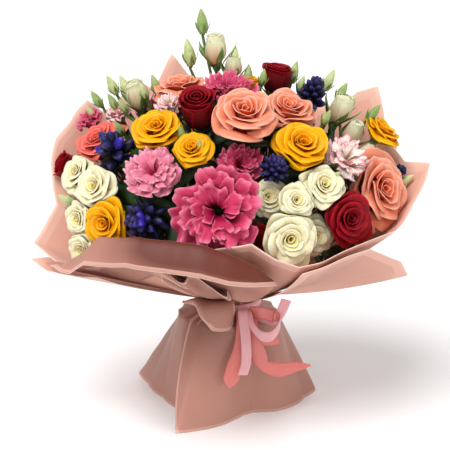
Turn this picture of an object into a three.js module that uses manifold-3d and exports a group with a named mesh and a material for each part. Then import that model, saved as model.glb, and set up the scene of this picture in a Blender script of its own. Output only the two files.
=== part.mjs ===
// A mixed bouquet: roses, spray roses, lisianthus and hyacinths, hand-tied on a spiral of stems, wrapped in
// sheets of frosted film and bound with two satin ribbons. It stands on its cut stems inside the film skirt.
// Millimetres, +Z up, the front is -Y. The origin is the middle of the cut stem ends, on the table.
import * as THREE from "three";
import { mergeVertices } from "three/addons/utils/BufferGeometryUtils.js";
import Module from "manifold-3d";

const wasm = await Module();
wasm.setup();

// ---------------------------------------------------------------- driving dimensions
const TIE_HEIGHT = 108; // the middle of the tie above the table
const NECK_RADIUS = 19.5; // the stems where they are tied
const VIEW_TILT = 18; // degrees above the horizon of the front view that the flowers are laid out in
const DOME_CENTRE = new THREE.Vector3(0, 4, 172); // the flower heads sit on an egg-shaped dome round this point
const DOME_HALF = new THREE.Vector3(178, 126, 154);
const HEAD_FOCUS = new THREE.Vector3(0, 42, 192); // each head looks away from this point
const SIDE_TURN = 0.62; // but the heads at the sides are turned that much less, to show their faces
const TOP_LIFT = 55; // and the top ones look up as if the point were that much lower
const SEAT_GAP = 0.3; // between a flower's base and its green seat
const HEAD_SCALE = 1.08; // the heads are that much larger than they show, since their rims curl in
const TRIM_GAP = 0.8; // left where a petal is pressed aside by its neighbour
const FILM = 0.8; // thickness of the film as it is drawn
const RIBBON = 0.8;
const GOLDEN = Math.PI * (3 - Math.sqrt(5));

const COLOURS = {
  peach: 0xf3a184, coral: 0xee7f7c, yellow: 0xf9b60a, red: 0xa5081f, white: 0xf2eecb, pink: 0xe0628f,
  blush: 0xf3cfcb, cream: 0xe6e6be, violet: 0x2d2858, green: 0x55763c, film: 0xcf9a8c, twine: 0xb99a6b,
  pale: 0xe7b0b4, salmon: 0xe28377,
};

const degrees = (angle) => THREE.MathUtils.degToRad(angle);
const point = (x, y, z) => new THREE.Vector3(x, y, z);

// A point at a compass angle (0 is right, 90 is the back), a distance from the axis and a height.
const polar = (angle, radius, height) =>
  point(radius * Math.cos(degrees(angle)), radius * Math.sin(degrees(angle)), height);

// ---------------------------------------------------------------- closed surfaces
function geometryFrom(points, faces) {
  const geometry = new THREE.BufferGeometry().setFromPoints(points);
  geometry.setIndex(faces);
  return geometry;
}

// Joins rings of points, each as long as the first, into one closed body with a fan on both ends.
function loft(rings) {
  const sides = rings[0].length;
  const points = rings.flat();
  const faces = [];
  for (let ring = 0; ring + 1 < rings.length; ring++) {
    for (let side = 0; side < sides; side++) {
      const next = (side + 1) % sides;
      const [a, b] = [ring * sides + side, ring * sides + next];
      faces.push(a, b, b + sides, a, b + sides, a + sides);
    }
  }
  [rings[0], rings.at(-1)].forEach((ring, end) => {
    const middle = ring.reduce((sum, p) => sum.add(p), point(0, 0, 0)).divideScalar(sides);
    const first = end * (rings.length - 1) * sides;
    points.push(middle);
    for (let side = 0; side < sides; side++) {
      const [a, b] = [first + side, first + ((side + 1) % sides)];
      faces.push(points.length - 1, ...(end ? [a, b] : [b, a]));
    }
  });
  return geometryFrom(points, faces);
}

// Gives a grid of points, rows of columns, a thickness. A closed sheet runs round and meets itself.
function sheet(grid, thickness, closed = false) {
  const [rows, columns] = [grid.length, grid[0].length];
  const column = (c) => (closed ? (c + columns) % columns : THREE.MathUtils.clamp(c, 0, columns - 1));
  const at = (r, c) => grid[THREE.MathUtils.clamp(r, 0, rows - 1)][column(c)];
  const [front, back] = [[], []];
  for (let r = 0; r < rows; r++) {
    for (let c = 0; c < columns; c++) {
      const down = at(r + 1, c).clone().sub(at(r - 1, c));
      const across = at(r, c + 1).clone().sub(at(r, c - 1));
      const normal = down.cross(across).normalize().multiplyScalar(thickness / 2);
      front.push(grid[r][c].clone().add(normal));
      back.push(grid[r][c].clone().sub(normal));
    }
  }
  const under = rows * columns;
  const faces = [];
  const wall = (a, b) => faces.push(a, a + under, b + under, a, b + under, b);
  for (let c = 0; c + 1 < columns + closed; c++) {
    const next = column(c + 1);
    for (let r = 0; r + 1 < rows; r++) {
      const [a, b, across, beyond] = [r * columns + c, (r + 1) * columns + c, r * columns + next, (r + 1) * columns + next];
      faces.push(a, b, beyond, a, beyond, across);
      faces.push(a + under, beyond + under, b + under, a + under, across + under, beyond + under);
    }
    wall(next, c);
    wall((rows - 1) * columns + c, (rows - 1) * columns + next);
  }
  for (let r = 0; !closed && r + 1 < rows; r++) {
    wall(r * columns, (r + 1) * columns);
    wall((r + 2) * columns - 1, (r + 1) * columns - 1);
  }
  return geometryFrom([...front, ...back], faces);
}

// A tube of few sides through the points, with a radius at each.
function tube(points, radii, sides) {
  const rings = points.map((centre, i) => {
    const ahead = points[Math.min(i + 1, points.length - 1)];
    const behind = points[Math.max(i - 1, 0)];
    const frame = facing(ahead.clone().sub(behind).normalize());
    return Array.from({ length: sides }, (_, side) => {
      const turn = (2 * Math.PI * side) / sides;
      return point(radii[i] * Math.cos(turn), radii[i] * Math.sin(turn), 0).applyQuaternion(frame).add(centre);
    });
  });
  return loft(rings);
}

// The turn that carries +Z to a direction, without needless spin.
function facing(direction) {
  return new THREE.Quaternion().setFromUnitVectors(point(0, 0, 1), direction);
}

// ---------------------------------------------------------------- joining and cutting
function solid(geometry) {
  const merged = mergeVertices(geometry, 1e-3);
  const vertProperties = merged.attributes.position.array;
  return new wasm.Manifold(new wasm.Mesh({ numProp: 3, vertProperties, triVerts: new Uint32Array(merged.index.array) }));
}

const union = (geometries) => geometries.map(solid).reduce((joined, next) => joined.add(next));

// The largest body of a solid, as a geometry: scraps that a cut leaves are dropped.
function geometryOf(manifold) {
  const bodies = manifold.decompose().sort((a, b) => b.volume() - a.volume());
  const mesh = bodies[0].getMesh();
  const geometry = new THREE.BufferGeometry();
  geometry.setAttribute("position", new THREE.BufferAttribute(new Float32Array(mesh.vertProperties), 3));
  geometry.setIndex(new THREE.BufferAttribute(new Uint32Array(mesh.triVerts), 1));
  return geometry;
}

// ---------------------------------------------------------------- places on the dome
// The point that the front view shows so far across and up, on the dome swollen by stand. A place past the
// dome's outline is put where the outline is nearest.
function onDome(across, up, stand = 1, behind = false) {
  const [sin, cos] = [Math.sin(degrees(VIEW_TILT)), Math.cos(degrees(VIEW_TILT))];
  const start = point(across, up * sin, up * cos).sub(DOME_CENTRE).divide(DOME_HALF).divideScalar(stand);
  const sight = point(0, cos, -sin).divide(DOME_HALF).divideScalar(stand);
  const nearest = -start.dot(sight) / sight.lengthSq();
  const reach = Math.sqrt(Math.max(0, nearest ** 2 - (start.lengthSq() - 1) / sight.lengthSq()));
  const depth = nearest + (behind ? reach : -reach);
  return point(across, up * sin + depth * cos, up * cos - depth * sin);
}

// ---------------------------------------------------------------- flower forms
// Each ring of a flower is [out, up, show, turn], in flower radii: how far out and up it lies, how much its
// petals stand apart and how many petals it is turned by. Lips and valleys take turns from the outside in.
const FORMS = {
  openRose: {
    petals: 5, lift: [-0.02, 0.1, -0.06], swell: [0.02, 0.06, -0.12],
    rings: [[0.24, 0, 0, 0], [0.68, 0.32, 0.2, 0], [1, 0.9, 1, 0], [0.75, 0.76, 0.5, 0.25],
      [0.69, 1.1, 1, 0.5], [0.44, 0.95, 0.5, 0.75], [0.32, 1.16, 1, 1]],
    seat: 0.24, middle: 0.85,
  },
  sprayRose: {
    petals: 4, lift: [-0.02, 0.1, -0.06], swell: [0.02, 0.06, -0.12],
    rings: [[0.24, 0, 0, 0], [0.7, 0.34, 0.2, 0], [1, 0.88, 1, 0], [0.7, 0.76, 0.5, 0.25],
      [0.6, 1.08, 1, 0.5], [0.2, 0.92, 0.3, 0.75]],
    seat: 0.24, middle: 0.8,
  },
  cupRose: {
    petals: 4, lift: [-0.04, 0.12, -0.1], swell: [0.03, 0.06, -0.12],
    rings: [[0.3, 0, 0, 0], [0.88, 0.6, 0.3, 0], [0.97, 1.5, 1, 0], [0.74, 1.4, 0.5, 0.25],
      [0.68, 1.78, 1, 0.5], [0.42, 1.6, 0.5, 0.75], [0.3, 1.86, 0.6, 1]],
    seat: 0.3, middle: 1.15,
  },
  lisianthus: {
    petals: 5, lift: [0.1, -0.06, 0.08], swell: [0.04, 0.03, -0.12],
    rings: [[0.16, 0, 0, 0], [0.52, 0.4, 0.2, 0], [1, 0.72, 1, 0], [0.76, 0.66, 0.5, 0.25],
      [0.72, 0.96, 1, 0.5], [0.46, 0.74, 0.4, 0.75], [0.16, 0.56, 0.1, 1]],
    seat: 0.16, middle: 0.7,
  },
  halfOpen: {
    petals: 4, lift: [-0.08, 0.14, -0.12], swell: [0.04, 0.05, -0.1],
    rings: [[0.3, 0, 0, 0], [0.98, 0.8, 0.3, 0], [0.9, 1.75, 1, 0], [0.6, 1.6, 0.5, 0.25], [0.4, 1.95, 0.8, 0.5]],
    seat: 0.3, middle: 1.1,
  },
  hyacinth: {
    petals: 5, lift: [-0.05, 0.02, -0.05], swell: [-0.22, 0.14, -0.18],
    rings: [[0.3, 0, 0, 0], [1, 0.56, 1, 0], [0.66, 0.68, 0.4, 0.25],
      [0.94, 1.1, 1, 0.5], [0.58, 1.22, 0.4, 0.75], [0.72, 1.6, 1, 1], [0.26, 1.86, 0.5, 1.25]],
    seat: 0.3, middle: 0.95,
  },
};

// Where a petal's samples lie along it: its proud edge, its middle and the edge tucked under the next.
const PETAL_STEPS = [0, 0.5, 0.95];

function flower(form, radius) {
  return loft(form.rings.map(([out, up, show, turn]) => {
    const ring = [];
    for (let petal = 0; petal < form.petals; petal++) {
      PETAL_STEPS.forEach((step, i) => {
        const angle = (2 * Math.PI * (petal + step + turn)) / form.petals;
        const away = out * (1 + show * form.swell[i]) * radius;
        ring.push(point(away * Math.cos(angle), away * Math.sin(angle), (up + show * form.lift[i]) * radius));
      });
    }
    return ring;
  }));
}

// ---------------------------------------------------------------- the flowers
// [kind, colour, across, up, radius, stand]: where the head shows in the front view, its radius, and how far
// it stands proud of the dome or sits sunk in it.
const FLOWERS = [
  ["lisianthus", "pink", -6, 195, 42], ["openRose", "peach", 14, 278, 31], ["openRose", "peach", 152, 212, 33],
  ["openRose", "yellow", -68, 262, 24], ["openRose", "yellow", 69, 257, 26], ["openRose", "peach", 60, 290, 25],
  ["openRose", "peach", -50, 314, 26], ["lisianthus", "pink", -72, 231, 27], ["openRose", "coral", -130, 260, 23],
  ["sprayRose", "white", 59, 165, 24], ["openRose", "red", 114, 182, 23], ["openRose", "yellow", -114, 186, 22],
  ["lisianthus", "blush", 110, 239, 23], ["lisianthus", "pink", 9, 241, 22, 0.9], ["lisianthus", "pink", 0, 307, 26],
  ["cupRose", "yellow", 22, 316, 16], ["openRose", "yellow", 148, 268, 18], ["cupRose", "red", -27, 290, 20],
  ["cupRose", "red", 44, 322, 17], ["cupRose", "red", -161, 235, 15], ["sprayRose", "red", 27, 164, 14, 0.88],
  ["sprayRose", "white", -148, 232, 17], ["sprayRose", "white", -127, 208, 20],
  ["sprayRose", "white", -144, 180, 15], ["sprayRose", "white", -142, 155, 16],
  ["sprayRose", "white", 91, 216, 20], ["sprayRose", "white", 69, 202, 15],
  ["sprayRose", "white", 86, 168, 16, 0.9], ["sprayRose", "white", 39, 207, 16, 0.9],
  ["lisianthus", "pink", -136, 283, 15], ["lisianthus", "blush", -54, 288, 13], ["lisianthus", "blush", -112, 288, 14],
  ["halfOpen", "cream", -11, 352, 15], ["halfOpen", "cream", 6, 333, 11],
  ["halfOpen", "cream", -91, 307, 15], ["halfOpen", "cream", 115, 289, 15],
  ["halfOpen", "cream", 128, 272, 14], ["halfOpen", "cream", 143, 256, 14],
  ["hyacinth", "violet", -110, 250, 20], ["hyacinth", "violet", -88, 190, 22],
  ["hyacinth", "violet", 47, 232, 17], ["hyacinth", "violet", 77, 304, 18, 1.05], ["hyacinth", "violet", 169, 230, 12],
  ["openRose", "yellow", -38, 250, 18],
];
// The same for the heads on the far side.
const FAR_FLOWERS = [
  ["lisianthus", "pink", -66, 300, 26], ["openRose", "peach", 0, 305, 25], ["openRose", "red", 62, 294, 22],
];

// Heads pushed together make room for each other: every pair that would press by more than a petal's give
// moves apart, a little at a time.
const CROWDING_ROUNDS = 80;
const PETAL_GIVE = 0.9;

function makeRoom(heads) {
  for (let round = 0; round < CROWDING_ROUNDS; round++) {
    heads.forEach((head, i) => {
      heads.slice(i + 1).forEach((other) => {
        const apart = other.centre.clone().sub(head.centre);
        const press = (head.radius + other.radius) * PETAL_GIVE - apart.length();
        if (press <= 0) return;
        apart.setLength(press / 2 / (head.radius + other.radius));
        head.centre.addScaledVector(apart, -other.radius);
        other.centre.addScaledVector(apart, head.radius);
      });
    });
  }
}

const counts = {};
const heads = [...FLOWERS, ...FAR_FLOWERS.map((row) => [...row, 1, true])].map(
  ([kind, colour, across, up, shown, stand, behind]) => {
    const radius = shown * HEAD_SCALE;
    const family = { openRose: "rose", cupRose: "rose", sprayRose: "rose", halfOpen: "lisianthus" }[kind] ?? kind;
    const key = `${family}_${colour}`;
    counts[key] = (counts[key] ?? 0) + 1;
    const form = FORMS[kind];
    return { name: `${key}_${counts[key]}`, kind, colour, radius, form, centre: onDome(across, up, stand, behind) };
  },
);
makeRoom(heads);

function outlook(centre) {
  const way = centre.clone().sub(HEAD_FOCUS);
  way.x *= SIDE_TURN;
  way.z += TOP_LIFT * THREE.MathUtils.smoothstep(centre.z, 220, 290);
  return way.normalize();
}

heads.forEach((head, i) => {
  head.axis = outlook(head.centre);
  head.base = head.centre.clone().addScaledVector(head.axis, -head.form.middle * head.radius);
  head.turn = facing(head.axis).multiply(new THREE.Quaternion().setFromAxisAngle(point(0, 0, 1), i * GOLDEN));
});

// ---------------------------------------------------------------- green stems, seats, buds and leaves
const CORE = { bottom: TIE_HEIGHT - 16, top: TIE_HEIGHT + 16, sides: 16 };
const CUT_STEMS = 10;
const STEM_RADIUS = 3;
const STEM_BEND = 32; // below each head, where its stem bends and the buds and leaves branch off

// [across, up, length]: where each closed lisianthus bud shows in the front view.
const BUDS = [
  [-27, 392, 26], [-41, 362, 28], [7, 356, 20], [21, 337, 22], [36, 331, 18], [-121, 326, 22], [-108, 326, 22],
  [-137, 311, 20], [-120, 308, 18], [-141, 295, 20], [-76, 327, 22], [-87, 317, 18], [-106, 300, 16],
  [-111, 278, 18], [-47, 272, 18], [-28, 258, 16], [69, 340, 24], [76, 326, 18], [106, 332, 24], [119, 319, 22],
  [128, 306, 20], [152, 297, 22], [99, 288, 18], [-166, 206, 24], [186, 227, 22], [179, 217, 18], [107, 228, 16],
];
const HIGH_BUDS = { above: 280, stand: 1.13 }; // the buds on top stand well clear of the flowers
// [across, up, length, width]: the leaves that fill the gaps.
const LEAVES = [
  [-60, 205, 60, 28], [128, 235, 50, 22], [-152, 195, 60, 22], [140, 180, 60, 26], [-34, 152, 60, 28],
  [-20, 236, 55, 26], [78, 230, 50, 24], [-128, 232, 50, 22],
];

function cutStem(angle, reach) {
  const ring = ([turn, share, height]) => {
    const centre = polar(angle + turn, share * reach, height);
    return Array.from({ length: 5 }, (_, side) => polar(72 * side, STEM_RADIUS, 0).add(centre));
  };
  return loft([[-58, 33, 0], [-24, 22, 55], [0, 13, 100]].map(ring));
}

function headStem({ base, axis, form, radius }, swell) {
  const under = (distance) => base.clone().addScaledVector(axis, -distance);
  const path = [coreTop(axis), under(STEM_BEND), under(0.22 * radius + 3), under(SEAT_GAP)];
  const radii = [1.2, 2, 1.6, form.seat * radius].map((r) => r + swell);
  return tube(path, radii, 3);
}

// Where the stem of a head leaves the tied bunch: the outer heads' stems are the outer ones.
const coreTop = (axis) => point(axis.x, axis.y, 0).multiplyScalar(NECK_RADIUS * 0.85).setZ(CORE.top - 4);

// Where a bud or a leaf branches off: on the stem whose bend is nearest, each a little lower than the last.
const BRANCHING = [0.06, 0.16, 0.26, 0.36];

function branching(place, i) {
  const bends = heads.map(({ base, axis }) => [base.clone().addScaledVector(axis, -STEM_BEND), coreTop(axis)]);
  const [bend, root] = bends.reduce((best, next) => (next[0].distanceTo(place) < best[0].distanceTo(place) ? next : best));
  return bend.clone().lerp(root, BRANCHING[i % BRANCHING.length]);
}

function budStem([across, up, length], i, swell) {
  const tip = onDome(across, up, up > HIGH_BUDS.above ? HIGH_BUDS.stand : 1.06);
  const axis = tip.clone().sub(HEAD_FOCUS).normalize();
  axis.z += 0.5;
  axis.normalize();
  const back = (distance) => tip.clone().addScaledVector(axis, -distance);
  const path = [branching(back(length + 30), i), back(length + 8), back(length), back(length * 0.55), tip];
  const width = length * 0.2;
  const radii = [0.6, 1.1, 1.3, width, 0.6].map((r) => r + swell);
  return tube(path, radii, 4);
}

function leaf([across, up, length, width], i) {
  const tip = onDome(across, up, 1.02);
  const axis = tip.clone().sub(HEAD_FOCUS).normalize();
  const side = point(0, 0, 1).cross(axis).applyAxisAngle(axis, i * GOLDEN).normalize();
  const foot = branching(tip.clone().addScaledVector(axis, -length), i + 2);
  const shape = [[foot, 0.1], [foot.clone().lerp(tip, 0.55), 1], [tip, 0.06]];
  return sheet(shape.map(([middle, share]) => [-1, 0, 1].map((across) =>
    middle.clone().addScaledVector(side, (across * share * width) / 2)
      .addScaledVector(axis.clone().cross(side), -Math.abs(across) * share * width * 0.12))), 0.9);
}

function greenSolids(swell) {
  const core = [CORE.bottom, CORE.top].map((height) =>
    Array.from({ length: CORE.sides }, (_, side) => polar((360 * side) / CORE.sides, NECK_RADIUS, height)));
  const cut = Array.from({ length: CUT_STEMS }, (_, i) => cutStem((360 * i) / CUT_STEMS, 1));
  return union([loft(core), ...cut, cutStem(0, 0), ...heads.map((head) => headStem(head, swell)),
    ...BUDS.map((bud, i) => budStem(bud, i, swell))]);
}

// ---------------------------------------------------------------- film
const PLEATS = 8;
const PLEAT_DEPTH = 6;
const COLUMN = 7.5; // degrees between the film's columns: every sheet shares them, so the folds nest
const LAYER = 1.8; // from one layer of film to the next where they are gathered
const FLARE_STEP = 1.6; // how much higher each inner layer spreads out
const OUTER_LAYER = 4;
const NECK = { bottom: TIE_HEIGHT - 6, top: TIE_HEIGHT + 6, inner: NECK_RADIUS + 1 };
const BELLY_OUT = 0.62; // where the curve from the neck to the rim is pulled to, as shares of the way out...
const BELLY_UP = [[82.5, 0.34], [150, 0.34], [180, 0.55], [210, 0.55], [232.5, 0.38], [457.5, 0.34]]; // ...and up

// The radius of a layer of film where it is gathered, counted from 1: the folds run in and out.
const gathered = (angle, layer) =>
  NECK.inner + (layer - 1) * LAYER + PLEAT_DEPTH * (0.5 - 0.5 * Math.cos(degrees(angle * PLEATS)));

// Reads a list of [angle, ...values] at an angle, straight between its entries.
function along(list, angle) {
  const next = Math.max(1, list.findIndex((entry) => entry[0] >= angle));
  const [before, after] = [list[next - 1], list[next]];
  const share = (angle - before[0]) / (after[0] - before[0]);
  return before.slice(1).map((value, i) => THREE.MathUtils.lerp(value, after[i + 1], share));
}

// The bouquet is less deep than it is wide. The squeeze slides a point along the front view's line of sight,
// so its place in that view stays; the neck is left round.
const DEPTH = 0.84;
const ROUND_WITHIN = 40;

function squeeze(p) {
  const share = THREE.MathUtils.smoothstep(Math.hypot(p.x, p.y), ROUND_WITHIN, ROUND_WITHIN + 60);
  const depth = p.y * THREE.MathUtils.lerp(1, DEPTH, share);
  return point(p.x, depth, p.z + (p.y - depth) * Math.tan(degrees(VIEW_TILT)));
}

// [name, layer, rim as [angle, radius, height, rolled-out length]]. An outer layer's rim is wider and lower.
const UPPER_FILM = [
  ["wrap_back_left", 1, [[82.5, 148, 278, 0], [97.5, 148, 284, 0], [105, 150, 300, 0], [112.5, 150, 327, 0],
    [120, 152, 290, 0], [127.5, 161, 305, 0], [135, 161, 282, 0], [142.5, 162, 276, 0], [150, 166, 293, 0],
    [165, 180, 263, 0], [172.5, 180, 244, 0], [180, 172, 208, 0], [187.5, 196, 176, 0], [202.5, 184, 172, 0]]],
  ["wrap_back_right", 2, [[262.5, 160, 212, 0], [277.5, 165, 221, 0], [285, 171, 206, 0],
    [292.5, 176, 197, 0], [300, 179, 200, 0], [307.5, 183, 207, 0], [315, 186, 212, 0], [330, 186, 211, 0],
    [345, 186, 216, 0], [352.5, 190, 226, 0], [367.5, 205, 243, 0], [375, 186, 238, 0], [382.5, 176, 258, 0],
    [390, 176, 306, 0], [397.5, 168, 296, 0], [405, 162, 277, 0], [420, 160, 274, 0], [457.5, 152, 274, 0]]],
  ["wrap_front_right", 3, [[292.5, 182, 192, 0], [307.5, 188, 203, 0],
    [315, 191, 206, 0], [330, 192, 180, 0], [337.5, 190, 158, 0], [345, 150, 150, 0]]],
  ["wrap_front_left", 3, [[202.5, 188, 168, 0], [210, 180, 176, 8], [217.5, 173, 192, 22],
    [225, 171, 213, 30], [240, 171, 221, 30], [255, 171, 222, 30], [262.5, 171, 220, 28], [270, 173, 213, 26],
    [277.5, 174, 203, 18], [285, 176, 184, 6]]],
  ["wrap_left", 4, [[172.5, 150, 146, 0], [187.5, 199, 159, 0], [202.5, 193, 163, 0],
    [217.5, 160, 164, 0]]],
];

function upperFilm([, layer, rim], thickness) {
  const columns = [];
  const flare = NECK.top + (OUTER_LAYER - layer) * FLARE_STEP;
  for (let angle = rim[0][0]; angle <= rim.at(-1)[0]; angle += COLUMN) {
    const inner = gathered(angle, layer);
    const [radius, height, roll] = along(rim, angle);
    const [belly] = along(BELLY_UP, angle);
    const places = [[inner, NECK.bottom], [inner, flare]];
    for (const t of [0.3, 0.65, 1]) {
      const [start, middle, end] = [(1 - t) ** 2, 2 * t * (1 - t), t ** 2];
      places.push([start * inner + middle * THREE.MathUtils.lerp(inner, radius, BELLY_OUT) + end * radius,
        flare + (height - flare) * (middle * belly + end)]);
    }
    if (rim.some((entry) => entry[3] > 0)) {
      const lip = Math.max(roll, 1.5);
      places.push([radius + lip * 0.5, height + lip * 0.12], [radius + lip * 0.9, height - lip * 0.3],
        [radius + lip, height - lip * 0.85]);
    }
    columns.push(places.map(([out, up]) => squeeze(polar(angle, out, up))));
  }
  return sheet(columns[0].map((_, row) => columns.map((column) => column[row])), thickness);
}

// The frill that bunches up in front of the tie and hangs longest next to the ribbon: its edge as
// [angle, radius, height].
const FRILL = [
  [225, 66, 122], [232.5, 58, 117], [240, 64, 112], [247.5, 57, 106], [255, 64, 98],
  [262.5, 56, 94], [270, 44, 108],
];

function frill() {
  const columns = FRILL.map(([angle, radius, height]) => {
    const inner = gathered(angle, OUTER_LAYER);
    return [polar(angle, inner, NECK.bottom), polar(angle, inner, NECK.top),
      polar(angle, (inner + radius) / 2, NECK.top + 2), polar(angle, radius, height)];
  });
  return sheet(columns[0].map((_, row) => columns.map((column) => column[row])), FILM);
}

// [angle, radius] round the hem of the skirt, which touches the table: four corners and the hollows between.
const HEM = [
  [0, 78], [12, 92], [36, 99], [60, 99], [84, 80], [120, 104], [144, 116], [156, 90], [180, 66], [198, 62],
  [216, 76], [240, 107], [252, 90], [276, 60], [288, 50], [300, 47], [312, 52], [324, 61], [348, 74], [360, 78],
];
const SKIRT_COLUMN = 12; // degrees
const SKIRT_TOP = { radius: NECK_RADIUS + 1, height: NECK.bottom - 2 };
const SHOULDER = { radius: 49, height: 95 };

function skirt() {
  const grid = [0, 0.001, 0.55, 1].map((share) => Array.from({ length: 360 / SKIRT_COLUMN }, (_, i) => {
    const angle = i * SKIRT_COLUMN;
    const [hem] = along(HEM, angle);
    if (!share) return polar(angle, SKIRT_TOP.radius, SKIRT_TOP.height);
    return polar(angle, THREE.MathUtils.lerp(SHOULDER.radius, hem, share), SHOULDER.height * (1 - share));
  }));
  return sheet(grid, FILM, true);
}

// ---------------------------------------------------------------- ribbons
const BAND = { radius: 33.4, bottom: TIE_HEIGHT - 5, top: TIE_HEIGHT + 4 };
const RIBBON_WIDTH = 10;

// A strip of ribbon along a path of [x, y, z], as wide as the vector across it, which may turn on the way.
function strip(path, across, acrossEnd = across) {
  return sheet(path.map((place, i) => {
    const wide = across.clone().lerp(acrossEnd, i / (path.length - 1));
    return [-0.5, 0.5].map((side) => point(...place).addScaledVector(wide, side));
  }), RIBBON);
}

function paleRibbon() {
  const ring = [BAND.bottom, BAND.top].map((height) =>
    Array.from({ length: 18 }, (_, i) => polar(20 * i, BAND.radius, height)));
  const wide = point(RIBBON_WIDTH, 0, 0);
  const tail = strip([[15.5, -30.5, 109], [15.5, -48, 106], [15, -58, 84], [14.5, -70, 54]], wide);
  const loop = strip([[12, -31.4, 107], [30, -46, 112], [50, -53, 113], [57, -57, 106], [49, -61, 95],
    [37, -62, 88], [26, -57, 96], [15, -42, 104]], point(1, 2, RIBBON_WIDTH));
  const curl = strip([[20, -50, 102], [28, -62, 86], [37, -67, 62], [47, -70, 49], [62, -70, 47], [80, -64, 56]],
    point(RIBBON_WIDTH, 0, 2), point(2, 2, RIBBON_WIDTH * 1.2));
  return tidy(union([sheet(ring, RIBBON, true), tail, loop, curl]));
}

function coralRibbon() {
  return strip([[5, -34.8, 107], [4.8, -54, 104], [1, -66, 80], [-5, -76, 48], [-2, -80, 32]],
    point(RIBBON_WIDTH, 0, 0));
}

// ---------------------------------------------------------------- assembly
const bouquet = new THREE.Group();
bouquet.name = "mixed_flower_bouquet";

function add(name, geometry, colour) {
  const plain = geometry.clone();
  plain.deleteAttribute("normal");
  plain.deleteAttribute("uv");
  const mesh = new THREE.Mesh(mergeVertices(plain, 1e-3), new THREE.MeshStandardMaterial({ color: COLOURS[colour] }));
  mesh.name = name;
  bouquet.add(mesh);
}

const headGeometry = ({ form, radius, turn, base }) =>
  flower(form, radius).applyQuaternion(turn).translate(...base.toArray());

const verticesOf = ({ attributes: { position } }) =>
  Array.from({ length: position.count }, (_, i) => new THREE.Vector3().fromBufferAttribute(position, i));

// A cut leaves fine slivers. They are smoothed away within a fraction of the gap, a few times over, since each
// fresh body lets more of them go.
const TIDY_ROUNDS = 4;

function tidy(manifold) {
  let geometry = geometryOf(manifold);
  for (let round = 0; round < TIDY_ROUNDS; round++) geometry = geometryOf(solid(geometry).simplify(0.2 * TRIM_GAP));
  return geometry;
}

const cutters = [greenSolids(TRIM_GAP), ...UPPER_FILM.map((spec) => solid(upperFilm(spec, FILM + 2 * TRIM_GAP)))];
const placed = [];

// Presses a solid flat where it would reach past the side of a head that is already in place.
function pressAside(shape, middle, { centre, corners }) {
  const away = middle.clone().sub(centre).normalize();
  const side = Math.max(...corners.map((corner) => corner.dot(away))) + TRIM_GAP;
  return shape.trimByPlane(away.toArray(), side);
}

function swollen(shape, { centre, radius }) {
  const there = centre.toArray();
  return shape.translate(there.map((value) => -value)).scale(1 + TRIM_GAP / radius).translate(there);
}

heads.forEach((head) => {
  const whole = headGeometry(head);
  const near = placed.filter(({ centre, radius }) => centre.distanceTo(head.centre) < 1.25 * (radius + head.radius));
  const pressed = near.reduce((shape, other) => pressAside(shape, head.centre, other), solid(whole));
  add(head.name, tidy(cutters.reduce((left, other) => left.subtract(other), pressed)), head.colour);
  placed.push({ ...head, corners: verticesOf(whole), hull: swollen(solid(whole).hull(), head) });
});

const leaves = LEAVES.map((spec, i) =>
  placed.reduce((left, { hull }) => left.subtract(hull), solid(leaf(spec, i))));
add("stems_and_buds", tidy(leaves.reduce((all, next) => all.add(next), greenSolids(0))), "green");
UPPER_FILM.forEach((spec) => add(spec[0], upperFilm(spec, FILM), "film"));
add("wrap_frill", frill(), "film");
add("wrap_skirt", skirt(), "film");
add("ribbon_pale", paleRibbon(), "pale");
add("ribbon_coral", coralRibbon(), "salmon");

export default bouquet;
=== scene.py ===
# %% [markdown]
# # A wrapped bouquet of mixed flowers
#
# Roses, spray roses, lisianthus, hyacinths and green buds are tied in a spiral of stems and wrapped in
# frosted film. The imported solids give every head, sheet and ribbon its place. This lesson dresses them:
# petals of their own, film with folds and a border, satin ribbons, stems and leaves. Lengths are in
# millimetres until `piece` turns a finished mesh into metres.

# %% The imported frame
import math
import random

import bmesh
import bpy
from mathutils import Matrix, Quaternion, Vector, noise
from mathutils.bvhtree import BVHTree
from mathutils.kdtree import KDTree


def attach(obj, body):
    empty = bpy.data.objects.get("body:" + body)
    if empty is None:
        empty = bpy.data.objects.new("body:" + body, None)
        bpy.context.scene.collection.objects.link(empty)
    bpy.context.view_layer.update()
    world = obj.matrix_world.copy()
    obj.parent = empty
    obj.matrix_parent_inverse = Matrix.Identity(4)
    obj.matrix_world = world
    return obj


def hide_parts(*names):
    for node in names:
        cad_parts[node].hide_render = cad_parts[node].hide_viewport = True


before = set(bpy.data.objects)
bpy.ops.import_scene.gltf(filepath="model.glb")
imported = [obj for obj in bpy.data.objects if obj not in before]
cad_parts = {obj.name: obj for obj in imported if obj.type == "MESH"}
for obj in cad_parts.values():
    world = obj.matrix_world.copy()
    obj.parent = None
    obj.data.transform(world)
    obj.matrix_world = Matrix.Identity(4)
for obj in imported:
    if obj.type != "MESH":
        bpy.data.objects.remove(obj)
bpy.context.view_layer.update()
MM = 0.001

# %% [markdown]
# ## Where the flowers sit
#
# A florist builds a bouquet as a dome: each head looks away from a point inside it, the ones at the sides a
# little more to the front and the top ones more upwards. The heads are laid out as the front view shows
# them, so many millimetres across and up, and a sight line from there meets the dome. Such a rule is easier
# to correct than 47 typed positions, and it gives each head its direction as well.

# %% The dome
TILT = math.radians(18)  # how far the front view looks down
DOME_CENTRE = Vector((0, 4, 172))
DOME_HALF = Vector((178, 126, 154))
HEAD_FOCUS = Vector((0, 42, 192))
SIDE_TURN = 0.62  # heads at the sides are turned that much less, to show their faces
TOP_LIFT = 55  # and the top ones look up as if the point inside were that much lower
TOP_HEIGHTS = (220, 290)  # between these heights that lift sets in
UP = Vector((0, 0, 1))
GOLDEN = math.pi * (3 - math.sqrt(5))


def shrunk(vector, stand):
    return Vector(a / (b * stand) for a, b in zip(vector, DOME_HALF))


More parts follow.
